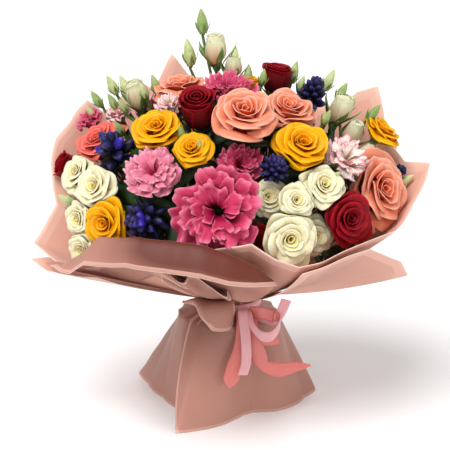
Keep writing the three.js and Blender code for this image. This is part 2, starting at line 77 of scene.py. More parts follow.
def on_dome(across, up, stand=1, behind=False):
    """The point of the dome, swollen by stand, that the front view shows so far across and up."""
    sin, cos = math.sin(TILT), math.cos(TILT)
    start = shrunk(Vector((across, up * sin, up * cos)) - DOME_CENTRE, stand)
    sight = shrunk(Vector((0, cos, -sin)), stand)
    nearest = -start.dot(sight) / sight.length_squared
    reach = math.sqrt(max(0, nearest**2 - (start.length_squared - 1) / sight.length_squared))
    depth = nearest + (reach if behind else -reach)
    return Vector((across, up * sin + depth * cos, up * cos - depth * sin))


def eased(value, low, high):
    """From 0 at low to 1 at high, softly, whichever is the larger."""
    share = min(1, max(0, (value - low) / (high - low)))
    return share * share * (3 - 2 * share)


def outlook(centre):
    """The way that a head at this place looks."""
    way = centre - HEAD_FOCUS
    return Vector((way.x * SIDE_TURN, way.y, way.z + TOP_LIFT * eased(centre.z, *TOP_HEIGHTS))).normalized()


print("front of the dome", [round(c) for c in on_dome(0, 195)])

# %% [markdown]
# ## The list of heads
#
# Each row is a kind, a colour, how far across and up the head shows, its radius, and how far it stands
# proud of the dome or sits sunk in it. Real heads press on each other until each has room, so pairs that
# are too close move apart a little at a time, the small one more than the large one.

# %% The heads
FLOWERS = [
    ("lisianthus", "pink", -6, 195, 42), ("openRose", "peach", 14, 278, 31),
    ("openRose", "peach", 152, 212, 33), ("openRose", "yellow", -68, 262, 24),
    ("openRose", "yellow", 69, 257, 26), ("openRose", "peach", 60, 290, 25),
    ("openRose", "peach", -50, 314, 26), ("lisianthus", "pink", -72, 231, 27),
    ("openRose", "coral", -130, 260, 23), ("sprayRose", "white", 59, 165, 24),
    ("openRose", "red", 114, 182, 23), ("openRose", "yellow", -114, 186, 22),
    ("lisianthus", "blush", 110, 239, 23), ("lisianthus", "pink", 9, 241, 22, 0.9),
    ("lisianthus", "pink", 0, 307, 26), ("cupRose", "yellow", 22, 316, 16),
    ("openRose", "yellow", 148, 268, 18), ("cupRose", "red", -27, 290, 20), ("cupRose", "red", 44, 322, 17),
    ("cupRose", "red", -161, 235, 15), ("sprayRose", "red", 27, 164, 14, 0.88),
    ("sprayRose", "white", -148, 232, 17), ("sprayRose", "white", -127, 208, 20),
    ("sprayRose", "white", -144, 180, 15), ("sprayRose", "white", -142, 155, 16),
    ("sprayRose", "white", 91, 216, 20), ("sprayRose", "white", 69, 202, 15),
    ("sprayRose", "white", 86, 168, 16, 0.9), ("sprayRose", "white", 39, 207, 16, 0.9),
    ("lisianthus", "pink", -136, 283, 15), ("lisianthus", "blush", -54, 288, 13),
    ("lisianthus", "blush", -112, 288, 14), ("halfOpen", "cream", -11, 352, 15),
    ("halfOpen", "cream", 6, 333, 11), ("halfOpen", "cream", -91, 307, 15),
    ("halfOpen", "cream", 115, 289, 15), ("halfOpen", "cream", 128, 272, 14),
    ("halfOpen", "cream", 143, 256, 14), ("hyacinth", "violet", -110, 250, 20),
    ("hyacinth", "violet", -88, 190, 22), ("hyacinth", "violet", 47, 232, 17),
    ("hyacinth", "violet", 77, 304, 18, 1.05), ("hyacinth", "violet", 169, 230, 12),
    ("openRose", "yellow", -38, 250, 18), ("lisianthus", "pink", -66, 300, 26, 1, True),
    ("openRose", "peach", 0, 305, 25, 1, True), ("openRose", "red", 62, 294, 22, 1, True),
]
HEAD_SCALE = 1.08  # a head is that much larger than it shows, since its rim curls in
MIDDLE = {  # how far up its axis a head's middle lies, in radii
    "openRose": 0.85, "sprayRose": 0.8, "cupRose": 1.15, "lisianthus": 0.7, "halfOpen": 1.1, "hyacinth": 0.95,
}
CROWDING_ROUNDS = 80
PETAL_GIVE = 0.9  # two heads may be that share of their radii apart


def facing(direction):
    return UP.rotation_difference(direction)


class Head:
    """A flower head: its kind and colour, its radius, the middle that it is placed by, and its direction."""

    def __init__(self, name, kind, colour, across, up, shown, stand=1, behind=False):
        self.name, self.kind, self.colour, self.radius = name, kind, colour, shown * HEAD_SCALE
        self.centre = on_dome(across, up, stand, behind)

    def settle(self, order):
        self.axis = outlook(self.centre)
        self.base = self.centre - self.axis * MIDDLE[self.kind] * self.radius
        self.turn = facing(self.axis) @ Quaternion(UP, order * GOLDEN)

    def under(self, distance):
        return self.base - self.axis * distance


def make_room(heads):
    for _ in range(CROWDING_ROUNDS):
        for i, head in enumerate(heads):
            for other in heads[i + 1:]:
                apart = other.centre - head.centre
                overlap = (head.radius + other.radius) * PETAL_GIVE - apart.length
                if overlap > 0:
                    apart *= overlap / 2 / (head.radius + other.radius) / apart.length
                    head.centre -= apart * other.radius
                    other.centre += apart * head.radius


heads, counts = [], {}
for row in FLOWERS:
    family = "rose" if "Rose" in row[0] else "hyacinth" if row[0] == "hyacinth" else "lisianthus"
    key = f"{family}_{row[1]}"
    counts[key] = counts.get(key, 0) + 1
    heads.append(Head(f"{key}_{counts[key]}", *row))
make_room(heads)
for order, head in enumerate(heads):
    head.settle(order)
print(len(heads), "heads:", counts)

# %% [markdown]
# ## Small tools for meshes
#
# A petal, a leaf, a sheet of film and a ribbon are all one thing to a modeller: a grid of faces whose
# corners are moved. `grid_sheet` makes the grid with an operator, asks a function where each corner goes,
# and keeps the grid's own coordinates as the UV map, so that veins and borders can follow the surface.
# `tube` draws stems: a circle is extruded from point to point.

# %% Sheets
def new_mesh():
    bm = bmesh.new()
    bm.loops.layers.uv.new("UVMap")
    for label in ("tone", "inner", "edge"):
        bm.verts.layers.float.new(label)
    return bm


def mark(bm, verts, **values):
    for label, value in values.items():
        layer = bm.verts.layers.float[label]
        for v in verts:
            v[layer] = value


def grid_sheet(bm, across, along, place, finish=0, **values):
    """A grid of faces, each corner moved to place(s, t), which run from 0 to 1."""
    uv = bm.loops.layers.uv.active
    made = bmesh.ops.create_grid(bm, x_segments=across, y_segments=along, size=0.5)["verts"]
    share = {v: (v.co.x + 0.5, v.co.y + 0.5) for v in made}
    for v, (s, t) in share.items():
        v.co = place(s, t)
    for face in {f for v in made for f in v.link_faces}:
        face.smooth, face.material_index = True, finish
        for loop in face.loops:
            loop[uv].uv = share[loop.vert]
    mark(bm, made, **values)
    return share


trial = new_mesh()
grid_sheet(trial, 3, 2, lambda s, t: Vector((s, t, 0)))
print("a sheet of 3 by 2 has", len(trial.faces), "faces")
trial.free()


# %% Smooth paths and tubes
def smooth_path(points, steps):
    """Points on a smooth line through the given ones, steps for each stretch."""
    line = [points[0] * 2 - points[1], *points, points[-1] * 2 - points[-2]]
    path = []
    for a, b, c, d in zip(line, line[1:], line[2:], line[3:]):
        for i in range(steps):
            t = i / steps
            square, cube = a * 2 - b * 5 + c * 4 - d, b * 3 - a - c * 3 + d
            path.append((b * 2 + (c - a) * t + square * t**2 + cube * t**3) / 2)
    return [*path, points[-1]]


def tube(bm, path, radii, sides=6, lobes=0, lobing=0.0, twist=0.0, finish=0, **values):
    """A closed tube: a circle at the path's start is extruded from point to point. Lobes make it ribbed."""
    uv = bm.loops.layers.uv.active
    ring = bmesh.ops.create_circle(bm, radius=1, segments=sides)["verts"]
    angles = [2 * math.pi * i / sides for i in range(sides)]
    made, turned = [], None
    for i, centre in enumerate(path):
        ahead = (path[min(i + 1, len(path) - 1)] - path[max(i - 1, 0)]).normalized()
        turned = facing(ahead) if turned is None else (turned @ UP).rotation_difference(ahead) @ turned
        if i:
            edges = [e for v in ring for e in v.link_edges
                     if e.other_vert(v) in ring and e.is_boundary or not e.link_faces]
            out = bmesh.ops.extrude_edge_only(bm, edges=list(dict.fromkeys(edges)))["geom"]
            fresh = [g for g in out if isinstance(g, bmesh.types.BMVert)]
            ring = [min(fresh, key=lambda f: (f.co - v.co).length_squared) for v in ring]
        for v, angle in zip(ring, angles):
            r = radii[i] * (1 + lobing * math.cos(lobes * angle + twist * i / len(path)))
            v.co = centre + turned @ Vector((r * math.cos(angle), r * math.sin(angle), 0))
        made.append(ring)
    for end in (made[0], made[-1]):
        rim = {e for v in end for e in v.link_edges if e.other_vert(v) in end}
        bmesh.ops.contextual_create(bm, geom=list(rim))
    verts = [v for r in made for v in r]
    row = {v: i for i, r in enumerate(made) for v in r}
    for face in {f for v in verts for f in v.link_faces}:
        face.smooth, face.material_index = True, finish
        for loop in face.loops:
            loop[uv].uv = (0.5, row[loop.vert] / (len(made) - 1))
    mark(bm, verts, **values)
    return verts


trial = new_mesh()
tube(trial, [Vector((0, 0, z)) for z in (0, 5, 10)], [1, 2, 1])
print("a tube of 6 sides and 2 stretches has", len(trial.faces), "faces and",
      sum(e.is_boundary for e in trial.edges), "open edges")
trial.free()

# %% [markdown]
# `piece` finishes any mesh. A Subdivision Surface modifier rounds it, a Solidify modifier gives a sheet its
# thickness, and the piece rides on the bouquet and takes the place of its plain solid.

# %% Finishing a piece
def piece(name, bm, finishes, stands_for=(), smooth=0, thickness=0.0, lining=0):
    bmesh.ops.scale(bm, vec=(MM, MM, MM), verts=bm.verts)
    mesh = bpy.data.meshes.new(name)
    bm.to_mesh(mesh)
    bm.free()
    for finish in finishes:
        mesh.materials.append(finish)
    thing = bpy.data.objects.new(name, mesh)
    bpy.context.scene.collection.objects.link(thing)
    if smooth:
        modifier = thing.modifiers.new("Round", "SUBSURF")
        modifier.levels = modifier.render_levels = smooth
    if thickness:
        modifier = thing.modifiers.new("Thickness", "SOLIDIFY")
        modifier.thickness, modifier.offset, modifier.material_offset = thickness * MM, 0, lining
    if stands_for:
        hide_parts(*stands_for)
    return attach(thing, "root")


print("pieces can be finished")

# %% [markdown]
# ## Finishes
#
# Colours are written as they look on a screen and changed to the linear values that light works with. A
# petal's colour runs from its heart to its edge, is deeper in the middle of the flower and differs a little
# from petal to petal. The deeper heart and middle are partly the flower's own colour and partly painted
# shade in the crevices between petals, and the edge colour is partly its own colour and partly a painted
# highlight on the rolled rims. Veins are noise stretched along the petal. All this is one node group, so
# each flower only sets its own colours.

# %% Building blocks for materials
def screen(red, green, blue):
    channel = lambda c: c / 12.92 if c <= 0.04045 else ((c + 0.055) / 1.055) ** 2.4
    return (*(channel(c / 255) for c in (red, green, blue)), 1.0)


def add_node(tree, kind, *feeds, **settings):
    """Adds a node and feeds its inputs in order, with sockets or plain values. None leaves an input alone."""
    made = tree.nodes.new(kind)
    for key, value in settings.items():
        setattr(made, key, value)
    for socket, feed in zip(made.inputs, feeds):
        if isinstance(feed, bpy.types.NodeSocket):
            tree.links.new(feed, socket)
        elif feed is not None:
            socket.default_value = feed
    return made


def mixed(tree, share, first, second):
    """A colour between two."""
    made = tree.nodes.new("ShaderNodeMix")
    made.data_type = "RGBA"
    for index, feed in ((0, share), (6, first), (7, second)):
        if isinstance(feed, bpy.types.NodeSocket):
            tree.links.new(feed, made.inputs[index])
        else:
            made.inputs[index].default_value = feed
    return made.outputs[2]


def ramp(tree, value, low, high, start=0.0, end=1.0):
    """Rises softly from start to end while the value goes from low to high."""
    feeds = (value, low, high, start, end)
    return add_node(tree, "ShaderNodeMapRange", *feeds, interpolation_type="SMOOTHSTEP").outputs[0]


def maths(tree, operation, *feeds):
    return add_node(tree, "ShaderNodeMath", *feeds, operation=operation).outputs[0]


def attribute(tree, label):
    return add_node(tree, "ShaderNodeAttribute", attribute_name=label).outputs["Fac"]


def dent(tree, shader, height, strength, depth):
    """Makes a surface look dented by a height. Full height stands for a depth of so many metres."""
    bump = add_node(tree, "ShaderNodeBump", strength, depth)
    tree.links.new(height, bump.inputs["Height"])
    tree.links.new(bump.outputs[0], shader.inputs["Normal"])


def effect(name, inputs, outputs):
    """A new node group with named sockets. Gives the group, its inputs and its outputs."""
    tree = bpy.data.node_groups.new(name, "ShaderNodeTree")
    for label, kind, value in inputs:
        socket = tree.interface.new_socket(label, in_out="INPUT", socket_type="NodeSocket" + kind)
        socket.default_value = value
    for label, kind in outputs:
        tree.interface.new_socket(label, in_out="OUTPUT", socket_type="NodeSocket" + kind)
    return tree, tree.nodes.new("NodeGroupInput").outputs, tree.nodes.new("NodeGroupOutput").inputs


def material(name, **plain):
    """A Principled material with some plain values. Gives the material, its node tree and its shader."""
    made = bpy.data.materials.new(name)
    made.use_nodes = True
    shader = next(n for n in made.node_tree.nodes if n.type == "BSDF_PRINCIPLED")
    for label, value in plain.items():
        shader.inputs[label.replace("_", " ")].default_value = value
    return made, made.node_tree, shader


print("a mid grey of 128 is", round(screen(128, 128, 128)[0], 3), "in linear light")

# %% Petal shading
WHITE = (1, 1, 1, 1)
VEIN_SCALE = (22.0, 1.5, 40.0)  # across the petal, along it, and from petal to petal
PATCH_SCALE = 0.16
VEIN_LEVEL = 0.62  # veins weaker than this darken the petal, stronger ones lighten it
PATCH_DEPTH = 0.12
PETAL_DEPTH = 0.13  # how much darker the darkest petal is than the lightest

petal_shading, given, result = effect(
    "Petal shading",
    [("Heart", "Color", WHITE), ("Body", "Color", WHITE), ("Edge", "Color", WHITE),
     ("Middle of the flower", "Color", WHITE), ("Edge width", "Float", 0.2), ("Veins", "Float", 0.1)],
    [("Color", "Color"), ("Height", "Float")],
)
tree = petal_shading
place = add_node(tree, "ShaderNodeUVMap", uv_map="UVMap").outputs[0]
u, v, _ = add_node(tree, "ShaderNodeSeparateXYZ", place).outputs
tone = attribute(tree, "tone")
inner = attribute(tree, "inner")
from_side = maths(tree, "ABSOLUTE", maths(tree, "MULTIPLY_ADD", u, 2.0, -1.0))
to_rim = maths(tree, "MAXIMUM", v, maths(tree, "MULTIPLY", from_side, 0.97))
edge_start = maths(tree, "SUBTRACT", 1.0, given["Edge width"])
spread = [maths(tree, "MULTIPLY", feed, scale) for feed, scale in zip((u, v, tone), VEIN_SCALE)]
stretched = add_node(tree, "ShaderNodeCombineXYZ", *spread).outputs[0]
veins = add_node(tree, "ShaderNodeTexNoise", stretched, None, 1.0, 3.0).outputs[0]
patches = add_node(tree, "ShaderNodeTexNoise", stretched, None, PATCH_SCALE, 2.0).outputs[0]
# heart, middle and edge: the flower's own colours, with painted shade deep in the flower and a painted
# highlight on the rims
colour = mixed(tree, ramp(tree, v, 0.15, 0.6), given["Heart"], given["Body"])
colour = mixed(tree, inner, colour, given["Middle of the flower"])
colour = mixed(tree, ramp(tree, to_rim, edge_start, 1.0), colour, given["Edge"])
dim = maths(tree, "MULTIPLY", maths(tree, "SUBTRACT", VEIN_LEVEL, veins), given["Veins"])
dim = maths(tree, "ADD", dim, ramp(tree, patches, 0.4, 0.75, 0.0, PATCH_DEPTH))
dim = maths(tree, "ADD", dim, maths(tree, "MULTIPLY", maths(tree, "SUBTRACT", 1.0, tone), PETAL_DEPTH))
bright = maths(tree, "SUBTRACT", 1.04, dim)
shade = add_node(tree, "ShaderNodeHueSaturation", None, 1.06, bright, 1.0, colour)
tree.links.new(shade.outputs[0], result["Color"])
tree.links.new(veins, result["Height"])
print(tree.name, "has", len(tree.nodes), "nodes")


# %% Petal finishes
def petal_finish(name, heart, body, edge, middle, edge_width=0.2, veins=0.25, rough=0.5):
    made, tree, shader = material(name, Roughness=rough, Subsurface_Weight=0.22, Subsurface_Scale=0.004,
                                  Subsurface_Radius=(1.0, 0.45, 0.3), Specular_IOR_Level=0.2)
    group = add_node(tree, "ShaderNodeGroup", node_tree=petal_shading)
    values = {"Heart": screen(*heart), "Body": screen(*body), "Edge": screen(*edge),
              "Middle of the flower": screen(*middle), "Edge width": edge_width, "Veins": veins}
    for label, value in values.items():
        group.inputs[label].default_value = value
    tree.links.new(group.outputs["Color"], shader.inputs["Base Color"])
    dent(tree, shader, group.outputs["Height"], 0.25, 0.0006)
    return made


petals = {
    "peach": petal_finish("Peach petals", (238, 134, 90), (242, 148, 120), (249, 180, 160), (228, 98, 58)),
    "coral": petal_finish("Coral petals", (238, 120, 100), (236, 112, 104), (244, 138, 128), (220, 78, 66)),
    "yellow": petal_finish("Yellow petals", (236, 128, 0), (250, 166, 2), (254, 190, 24), (236, 122, 0)),
    "red": petal_finish("Red petals", (72, 0, 8), (132, 0, 16), (164, 4, 28), (68, 0, 8),
                        veins=0.35, rough=0.6),
    "white": petal_finish("White petals", (222, 200, 98), (246, 233, 190), (253, 246, 222), (234, 212, 106)),
    "pink": petal_finish("Pink petals", (190, 50, 88), (214, 82, 116), (236, 132, 156), (146, 24, 60),
                         veins=0.5),
    "rosy": petal_finish("Light pink petals", (236, 130, 156), (240, 142, 166), (248, 176, 192),
                         (214, 60, 104), veins=0.45),
    "blush": petal_finish("Blush petals", (226, 226, 176), (249, 228, 218), (236, 126, 156), (240, 190, 180),
                          edge_width=0.09),
    "cream": petal_finish("Cream petals", (228, 186, 152), (234, 230, 190), (248, 240, 218), (222, 226, 170),
                          edge_width=0.12),
    "violet": petal_finish("Violet petals", (16, 17, 28), (24, 24, 46), (58, 52, 120), (16, 16, 30),
                           edge_width=0.4, rough=0.36),
    "bright violet": petal_finish("Bright violet petals", (40, 36, 84), (62, 52, 150), (104, 92, 190),
                                  (40, 34, 90), rough=0.4),
}
print(len(petals), "petal finishes")

# %% [markdown]
# ## Film
#
# The wrapping is frosted plastic film: matt, milky, and printed with a paler band along its cut edges. The
# mesh carries the distance to the nearest cut edge as an attribute, and the band is drawn from that
# distance, so that it follows every fold, with a painted highlight as a thin pale line along the very edge.
# A second attribute, tone, darkens the film towards its shade colour: partly where layers lie over dark
# stems, and partly as painted shade on the front, in the rolled lip, below the lip and near the tie.
# Subsurface light and a little sheen give the milky look.

# %% Film finish
FILM_COLOURS = {
    "Body": (224, 166, 148), "Shade": (90, 38, 26), "Border": (236, 188, 172), "Line": (248, 212, 198),
}
BORDER_WIDTH = 11.0
BORDER_STRENGTH = 0.5
EDGE_HIGHLIGHT_STRENGTH = 0.75  # of the painted highlight, a line of light along the very edge

film_shading, given, result = effect(
    "Film shading",
    [*((label, "Color", WHITE) for label in FILM_COLOURS), ("Border width", "Float", BORDER_WIDTH)],
    [("Color", "Color"), ("Height", "Float")],
)
tree = film_shading
edge = attribute(tree, "edge")
spot = add_node(tree, "ShaderNodeTexCoord").outputs["Object"]
cloudy = add_node(tree, "ShaderNodeTexNoise", spot, None, 9.0, 2.0).outputs[0]
creases = add_node(tree, "ShaderNodeTexNoise", spot, None, 28.0, 4.0, 0.6).outputs[0]
in_border = ramp(tree, maths(tree, "SUBTRACT", given["Border width"], edge), -0.5, 0.5)
# painted highlight: a thin pale line along the very edge
edge_highlight = ramp(tree, edge, 1.5, 0.6)
colour = mixed(tree, attribute(tree, "tone"), given["Body"], given["Shade"])
colour = mixed(tree, maths(tree, "MULTIPLY", in_border, BORDER_STRENGTH), colour, given["Border"])
colour = mixed(tree, maths(tree, "MULTIPLY", edge_highlight, EDGE_HIGHLIGHT_STRENGTH), colour, given["Line"])
milky = ramp(tree, cloudy, 0.3, 0.7, 0.9, 1.06)
shade = add_node(tree, "ShaderNodeHueSaturation", None, 1.0, milky, 1.0, colour)
tree.links.new(shade.outputs[0], result["Color"])
tree.links.new(creases, result["Height"])

film, tree, shader = material("Frosted film", Roughness=0.5, Subsurface_Weight=0.2, Subsurface_Scale=0.004,
                              Subsurface_Radius=(1.0, 0.6, 0.5), Sheen_Weight=0.06, Sheen_Roughness=0.5,
                              Specular_IOR_Level=0.3)
group = add_node(tree, "ShaderNodeGroup", node_tree=film_shading)
for label, value in FILM_COLOURS.items():
    group.inputs[label].default_value = screen(*value)
tree.links.new(group.outputs["Color"], shader.inputs["Base Color"])
dent(tree, shader, group.outputs["Height"], 0.3, 0.0012)
print("film finish ready")

# %% [markdown]
# ## Sheets above the tie
#
# Five overlapping sheets flare from the tie to a rim with corners. Where they are gathered they all follow
# the same folds, each a layer further out, so they nest as the real ones do. The rim of each is a list of
# corners by compass angle. The front left sheet rolls outwards in a lip.

# %% The shape of the film
NECK = {"bottom": 102, "top": 114, "inner": 20.5}
GATHERS = {"number": 8, "depth": 6}
LAYERS = 4
LAYER = 1.8  # from one sheet to the next one out
FLARE_STEP = 1.6  # a sheet starts to flare that much higher than the next one out
NECK_PART = 0.07  # the share of a sheet's length that lies in the tie
LIP_PART = 0.26  # and the share that is rolled out
LIP_CURVE = ((0, 0), (0.22, 0.16), (0.6, -0.2), (1, -0.88))
BELLY_OUT = 0.62  # how far out the bend of a sheet lies, as a share, and by compass angle how far up
BELLY_UP = [(82.5, 0.34), (150, 0.34), (180, 0.55), (210, 0.55), (232.5, 0.38), (457.5, 0.34)]
FLATTENED = 0.16  # how much less deep than wide the wrapping is, from FLAT_FROM to FLAT_TO off the middle
FLAT_FROM, FLAT_TO = 40, 100
FOLD_PITCH = 3.2  # more makes more folds
UPPER_FILM = {  # the layer, and corners of the rim: compass angle, radius, height, width of the lip
    "wrap_back_left": (1, [
        (82.5, 148, 278, 0), (97.5, 148, 284, 0), (105, 150, 300, 0), (112.5, 150, 327, 0),
        (120, 152, 290, 0), (127.5, 161, 305, 0), (135, 161, 282, 0), (142.5, 162, 276, 0),
        (150, 166, 293, 0), (165, 180, 263, 0), (172.5, 180, 244, 0), (180, 172, 208, 0),
        (187.5, 196, 176, 0), (202.5, 184, 172, 0),
    ]),
    "wrap_back_right": (2, [
        (262.5, 160, 212, 0), (277.5, 165, 221, 0), (285, 171, 206, 0), (292.5, 176, 197, 0),
        (300, 179, 200, 0), (307.5, 183, 207, 0), (315, 186, 212, 0), (330, 186, 211, 0),
        (345, 186, 216, 0), (352.5, 190, 226, 0), (367.5, 205, 243, 0), (375, 186, 238, 0),
        (382.5, 176, 258, 0), (390, 176, 306, 0), (397.5, 168, 296, 0), (405, 162, 277, 0),
        (420, 160, 274, 0), (457.5, 152, 274, 0),
    ]),
    "wrap_front_right": (3, [
        (292.5, 182, 192, 0), (307.5, 188, 203, 0), (315, 191, 206, 0), (330, 192, 180, 0),
        (337.5, 190, 158, 0), (345, 150, 150, 0),
    ]),
    "wrap_front_left": (3, [
        (202.5, 188, 168, 0), (210, 180, 176, 8), (217.5, 173, 192, 20), (225, 171, 213, 25),
        (240, 171, 221, 25), (255, 171, 222, 26), (262.5, 171, 220, 26), (270, 173, 213, 25),
        (277.5, 174, 203, 18), (285, 176, 184, 2),
    ]),
    "wrap_left": (4, [
        (172.5, 150, 146, 0), (187.5, 199, 159, 0), (202.5, 193, 163, 0), (217.5, 160, 164, 0),
    ]),
}


def along(rows, angle):
    """Reads rows of (angle, value, ...) at an angle, straight between them."""
    for before, after in zip(rows, rows[1:]):
        if angle <= after[0]:
            break
    share = (angle - before[0]) / (after[0] - before[0])
    return [a + (b - a) * share for a, b in zip(before[1:], after[1:])]


def polar(angle, radius, height):
    return Vector((radius * math.cos(math.radians(angle)), radius * math.sin(math.radians(angle)), height))


def gathered(angle, layer):
    """The radius of a layer in the tie, where the film stands in small folds."""
    fold = 0.5 - 0.5 * math.cos(math.radians(angle * GATHERS["number"]))
    return NECK["inner"] + (layer - 1) * LAYER + GATHERS["depth"] * fold


def squeeze(p):
    """The bouquet is less deep than wide. Points slide along the front view's sight line."""
    depth = p.y * (1 - FLATTENED * eased(math.hypot(p.x, p.y), FLAT_FROM, FLAT_TO))
    return Vector((p.x, depth, p.z + (p.y - depth) * math.tan(TILT)))


def bezier(points, t):
    a, b, c, d = points
    u = 1 - t
    shares = (u**3, 3 * u * u * t, 3 * u * t * t, t**3)
    return tuple(sum(share * x for share, x in zip(shares, row)) for row in zip(a, b, c, d))


def billow(angle, share):
    """Folds that run out from the tie, soft ones and sharp creases, the same in every layer."""
    way = polar(angle, FOLD_PITCH, share * 0.8)
    crease = abs(noise.noise(way * 1.9 + Vector((4, 0, 0))))
    soft = 5 * (1 - 0.45 * share) * noise.noise(way) + 1.4 * noise.noise(way * 3)
    return share * (soft - 7 * crease * (1 - 0.6 * share))


def flare_height(layer):
    """Inner layers leave the tie a little higher than the outer ones."""
    return NECK["top"] + (LAYERS - layer) * FLARE_STEP


def bellied(layer, angle, radius, height, share):
    """How far out and how high a sheet of this layer is, a share of the way from the tie to its rim."""
    inner, flare = gathered(angle, layer), flare_height(layer)
    a, b, c = (1 - share) ** 2, 2 * share * (1 - share), share**2
    out = a * inner + b * (inner + (radius - inner) * BELLY_OUT) + c * radius + billow(angle, share)
    return out, flare + (height - flare) * (b * along(BELLY_UP, angle)[0] + c)


def note_edges(bm, share, free, narrow=1):
    """Writes each corner's distance to the nearest cut edge, in millimetres. free(s, t) says what is cut, and
    narrow makes the band along it that much narrower."""
    cut = [v.co.copy() for v, (s, t) in share.items() if free(s, t)]
    tree = KDTree(len(cut))
    for i, co in enumerate(cut):
        tree.insert(co, i)
    tree.balance()
    layer = bm.verts.layers.float["edge"]
    for v in share:
        v[layer] = tree.find(v.co)[2] * narrow


def cut_round(s, t):
    """A sheet that is cut along its rim and both sides."""
    return t > 0.999 or s in (0, 1)


print("the film is gathered to", round(gathered(0, 1), 1), "to", round(gathered(22.5, LAYERS), 1), "mm")


# %% The sheets
FILM_STEP = 1.5  # degrees from one row of faces to the next
FRONT_SHADE = (0.22, 0.45)  # painted shade, with dark stems showing through: how dark the front is, and how much darker it gets towards the tie
# painted shade in the rolled lip, darker towards its right end
LIP_SHADE = (0.3, 0.6)
CREST = 0.92  # where in the lip its crest is, counted from the rim


def upper_film(layer, rim):
    start, end = rim[0][0], rim[-1][0]
    rolled = any(row[3] for row in rim)
    lip_part = LIP_PART if rolled else 0

    def place(s, t):
        angle = start + s * (end - start)
        if t < NECK_PART:
            rise = (flare_height(layer) - NECK["bottom"]) * t / NECK_PART
            return squeeze(polar(angle, gathered(angle, layer), NECK["bottom"] + rise))
        radius, height, roll = along(rim, angle)
        share = min(1, (t - NECK_PART) / (1 - NECK_PART - lip_part))
        out, up = bellied(layer, angle, radius, height, share)
        if lip_part and t > 1 - lip_part:
            lip = max(roll, 1.5)
            right, rise = bezier(LIP_CURVE, (t - 1 + lip_part) / lip_part)
            out, up = out + lip * right, up + lip * rise
        return squeeze(polar(angle, out, up))

    bm = new_mesh()
    share = grid_sheet(bm, round((end - start) / FILM_STEP), 42 if rolled else 34, place)
    note_edges(bm, share, lambda s, t: t > 0.999 or (s in (0, 1) and t > 0.3), narrow=2.6 if rolled else 1)
    tone, edge = (bm.verts.layers.float[label] for label in ("tone", "edge"))
    # Painted shade, with dark stems showing through: the front of each sheet darkens towards the tie, and the
    # rolled lip darkens towards its right end.
    for v, (s, t) in share.items():
        in_front, angle = eased(-v.co.y, 20, 120), start + s * (end - start)
        v[tone] = in_front * (FRONT_SHADE[0] + FRONT_SHADE[1] * eased(t, 0.95, 0.35))
        if rolled:
            in_lip = eased(t, 0.68, 0.74) * eased(t, 1.16, 0.9)
            v[tone] += in_lip * (LIP_SHADE[0] + LIP_SHADE[1] * eased(angle, 225, 252))
            if abs(t - 1 + CREST * lip_part) < 0.012:
                v[edge] = -6  # painted highlight: the crest gets the pale edge line and border, where light catches the film as it rolls over
    return bm


FILM_THICKNESS = 0.5
film_walls = []
for name, (layer, rim) in UPPER_FILM.items():
    bm = upper_film(layer, rim)
    film_walls.append(BVHTree.FromBMesh(bm))
    piece(f"{name}_film", bm, [film], [name], thickness=FILM_THICKNESS)
print(len(film_walls), "sheets above the tie")

# %% [markdown]
# A second edge of film curls out below the rolled lip at the left, and more film is ruffled over the front
# sheet next to the ribbon. Both lie on the outside of the front left sheet, so they are drawn on it: so far
# round, so far up it, and lifted off it by so much.

# %% Curls on the front sheet
CURL = {"starts": 212, "runs": 38, "free_from": 0.6}
RUFFLE = {"starts": 238, "runs": 34, "foot": 0.12}


def on_front(angle, share, lift):
    """A point on the front left sheet, share of the way from the tie to its crest, lifted off it."""
    layer, rim = UPPER_FILM["wrap_front_left"]
    radius, height, _ = along(rim, angle)
    out, up = bellied(layer, angle, radius, height, share)
    return squeeze(polar(angle, out + 0.5 * lift, up - 0.85 * lift))


def curl_point(s, t):
    """Its rim leaves the lip at the left, runs along below it and sinks to the front."""
    rim = 0.86 - 0.32 * eased(s, 0.45, 1) ** 1.3
    share = rim * (0.55 + 0.45 * min(1, t / CURL["free_from"]))
    free = max(0, (t - CURL["free_from"]) / (1 - CURL["free_from"]))
    lift = 1.2 + 2 * t + 6 * eased(s, 0.1, 0.9) * math.sin(math.pi * 0.75 * free)
    return on_front(CURL["starts"] + CURL["runs"] * s, share - 0.05 * free * free, lift)


def ruffle_point(s, t):
    """It lies on the sheet at its foot, and its free end waves."""
    share = RUFFLE["foot"] + (0.42 + 0.1 * math.sin(3.5 * s + 0.6)) * t
    fold = math.sin(15 * s + 2.6 * t + 0.8 * math.sin(5 * s))
    angle = RUFFLE["starts"] + RUFFLE["runs"] * s + 2.5 * t * fold
    return on_front(angle, share, 1.2 + t * (5 + 5 * fold))


for name, place, size, cut in (("wrap_front_curl_film", curl_point, (60, 20), (125, 60, 0.78)),
                               ("wrap_front_ruffle_film", ruffle_point, (80, 22), (92, 60, 0.72))):
    bm = new_mesh()
    # tone 0.5 is painted shade below the rolled lip, with dark stems showing through
    share = grid_sheet(bm, *size, place, tone=0.5)
    note_edges(bm, share, cut_round, narrow=3)
    piece(name, bm, [film], thickness=FILM_THICKNESS)
print("curls drawn on the front sheet")

# %% [markdown]
# ## The skirt
#
# Below the tie one sheet runs all the way round and laps over itself at the front left, where its free edge
# stands out as a line. Its hem touches the table in corners, with hollows between.

# %% Skirt
HEM = [  # compass angle and radius of the hem's corners and hollows
    (216, 88), (241, 107), (252, 90), (276, 60), (288, 50), (300, 47), (312, 52), (324, 61), (348, 74),
    (360, 78), (372, 92), (396, 99), (420, 99), (444, 80), (480, 104), (504, 116), (516, 90), (540, 66),
    (558, 62), (576, 58), (600, 58),
]
SKIRT_NECK = {"radius": 24, "height": 101}
SHOULDER = {"radius": 49, "height": 95, "part": 0.18}
LAP = {"starts": 217, "ends": 593, "slant": 24, "depth": 2.2}  # the sheet runs round past its own start


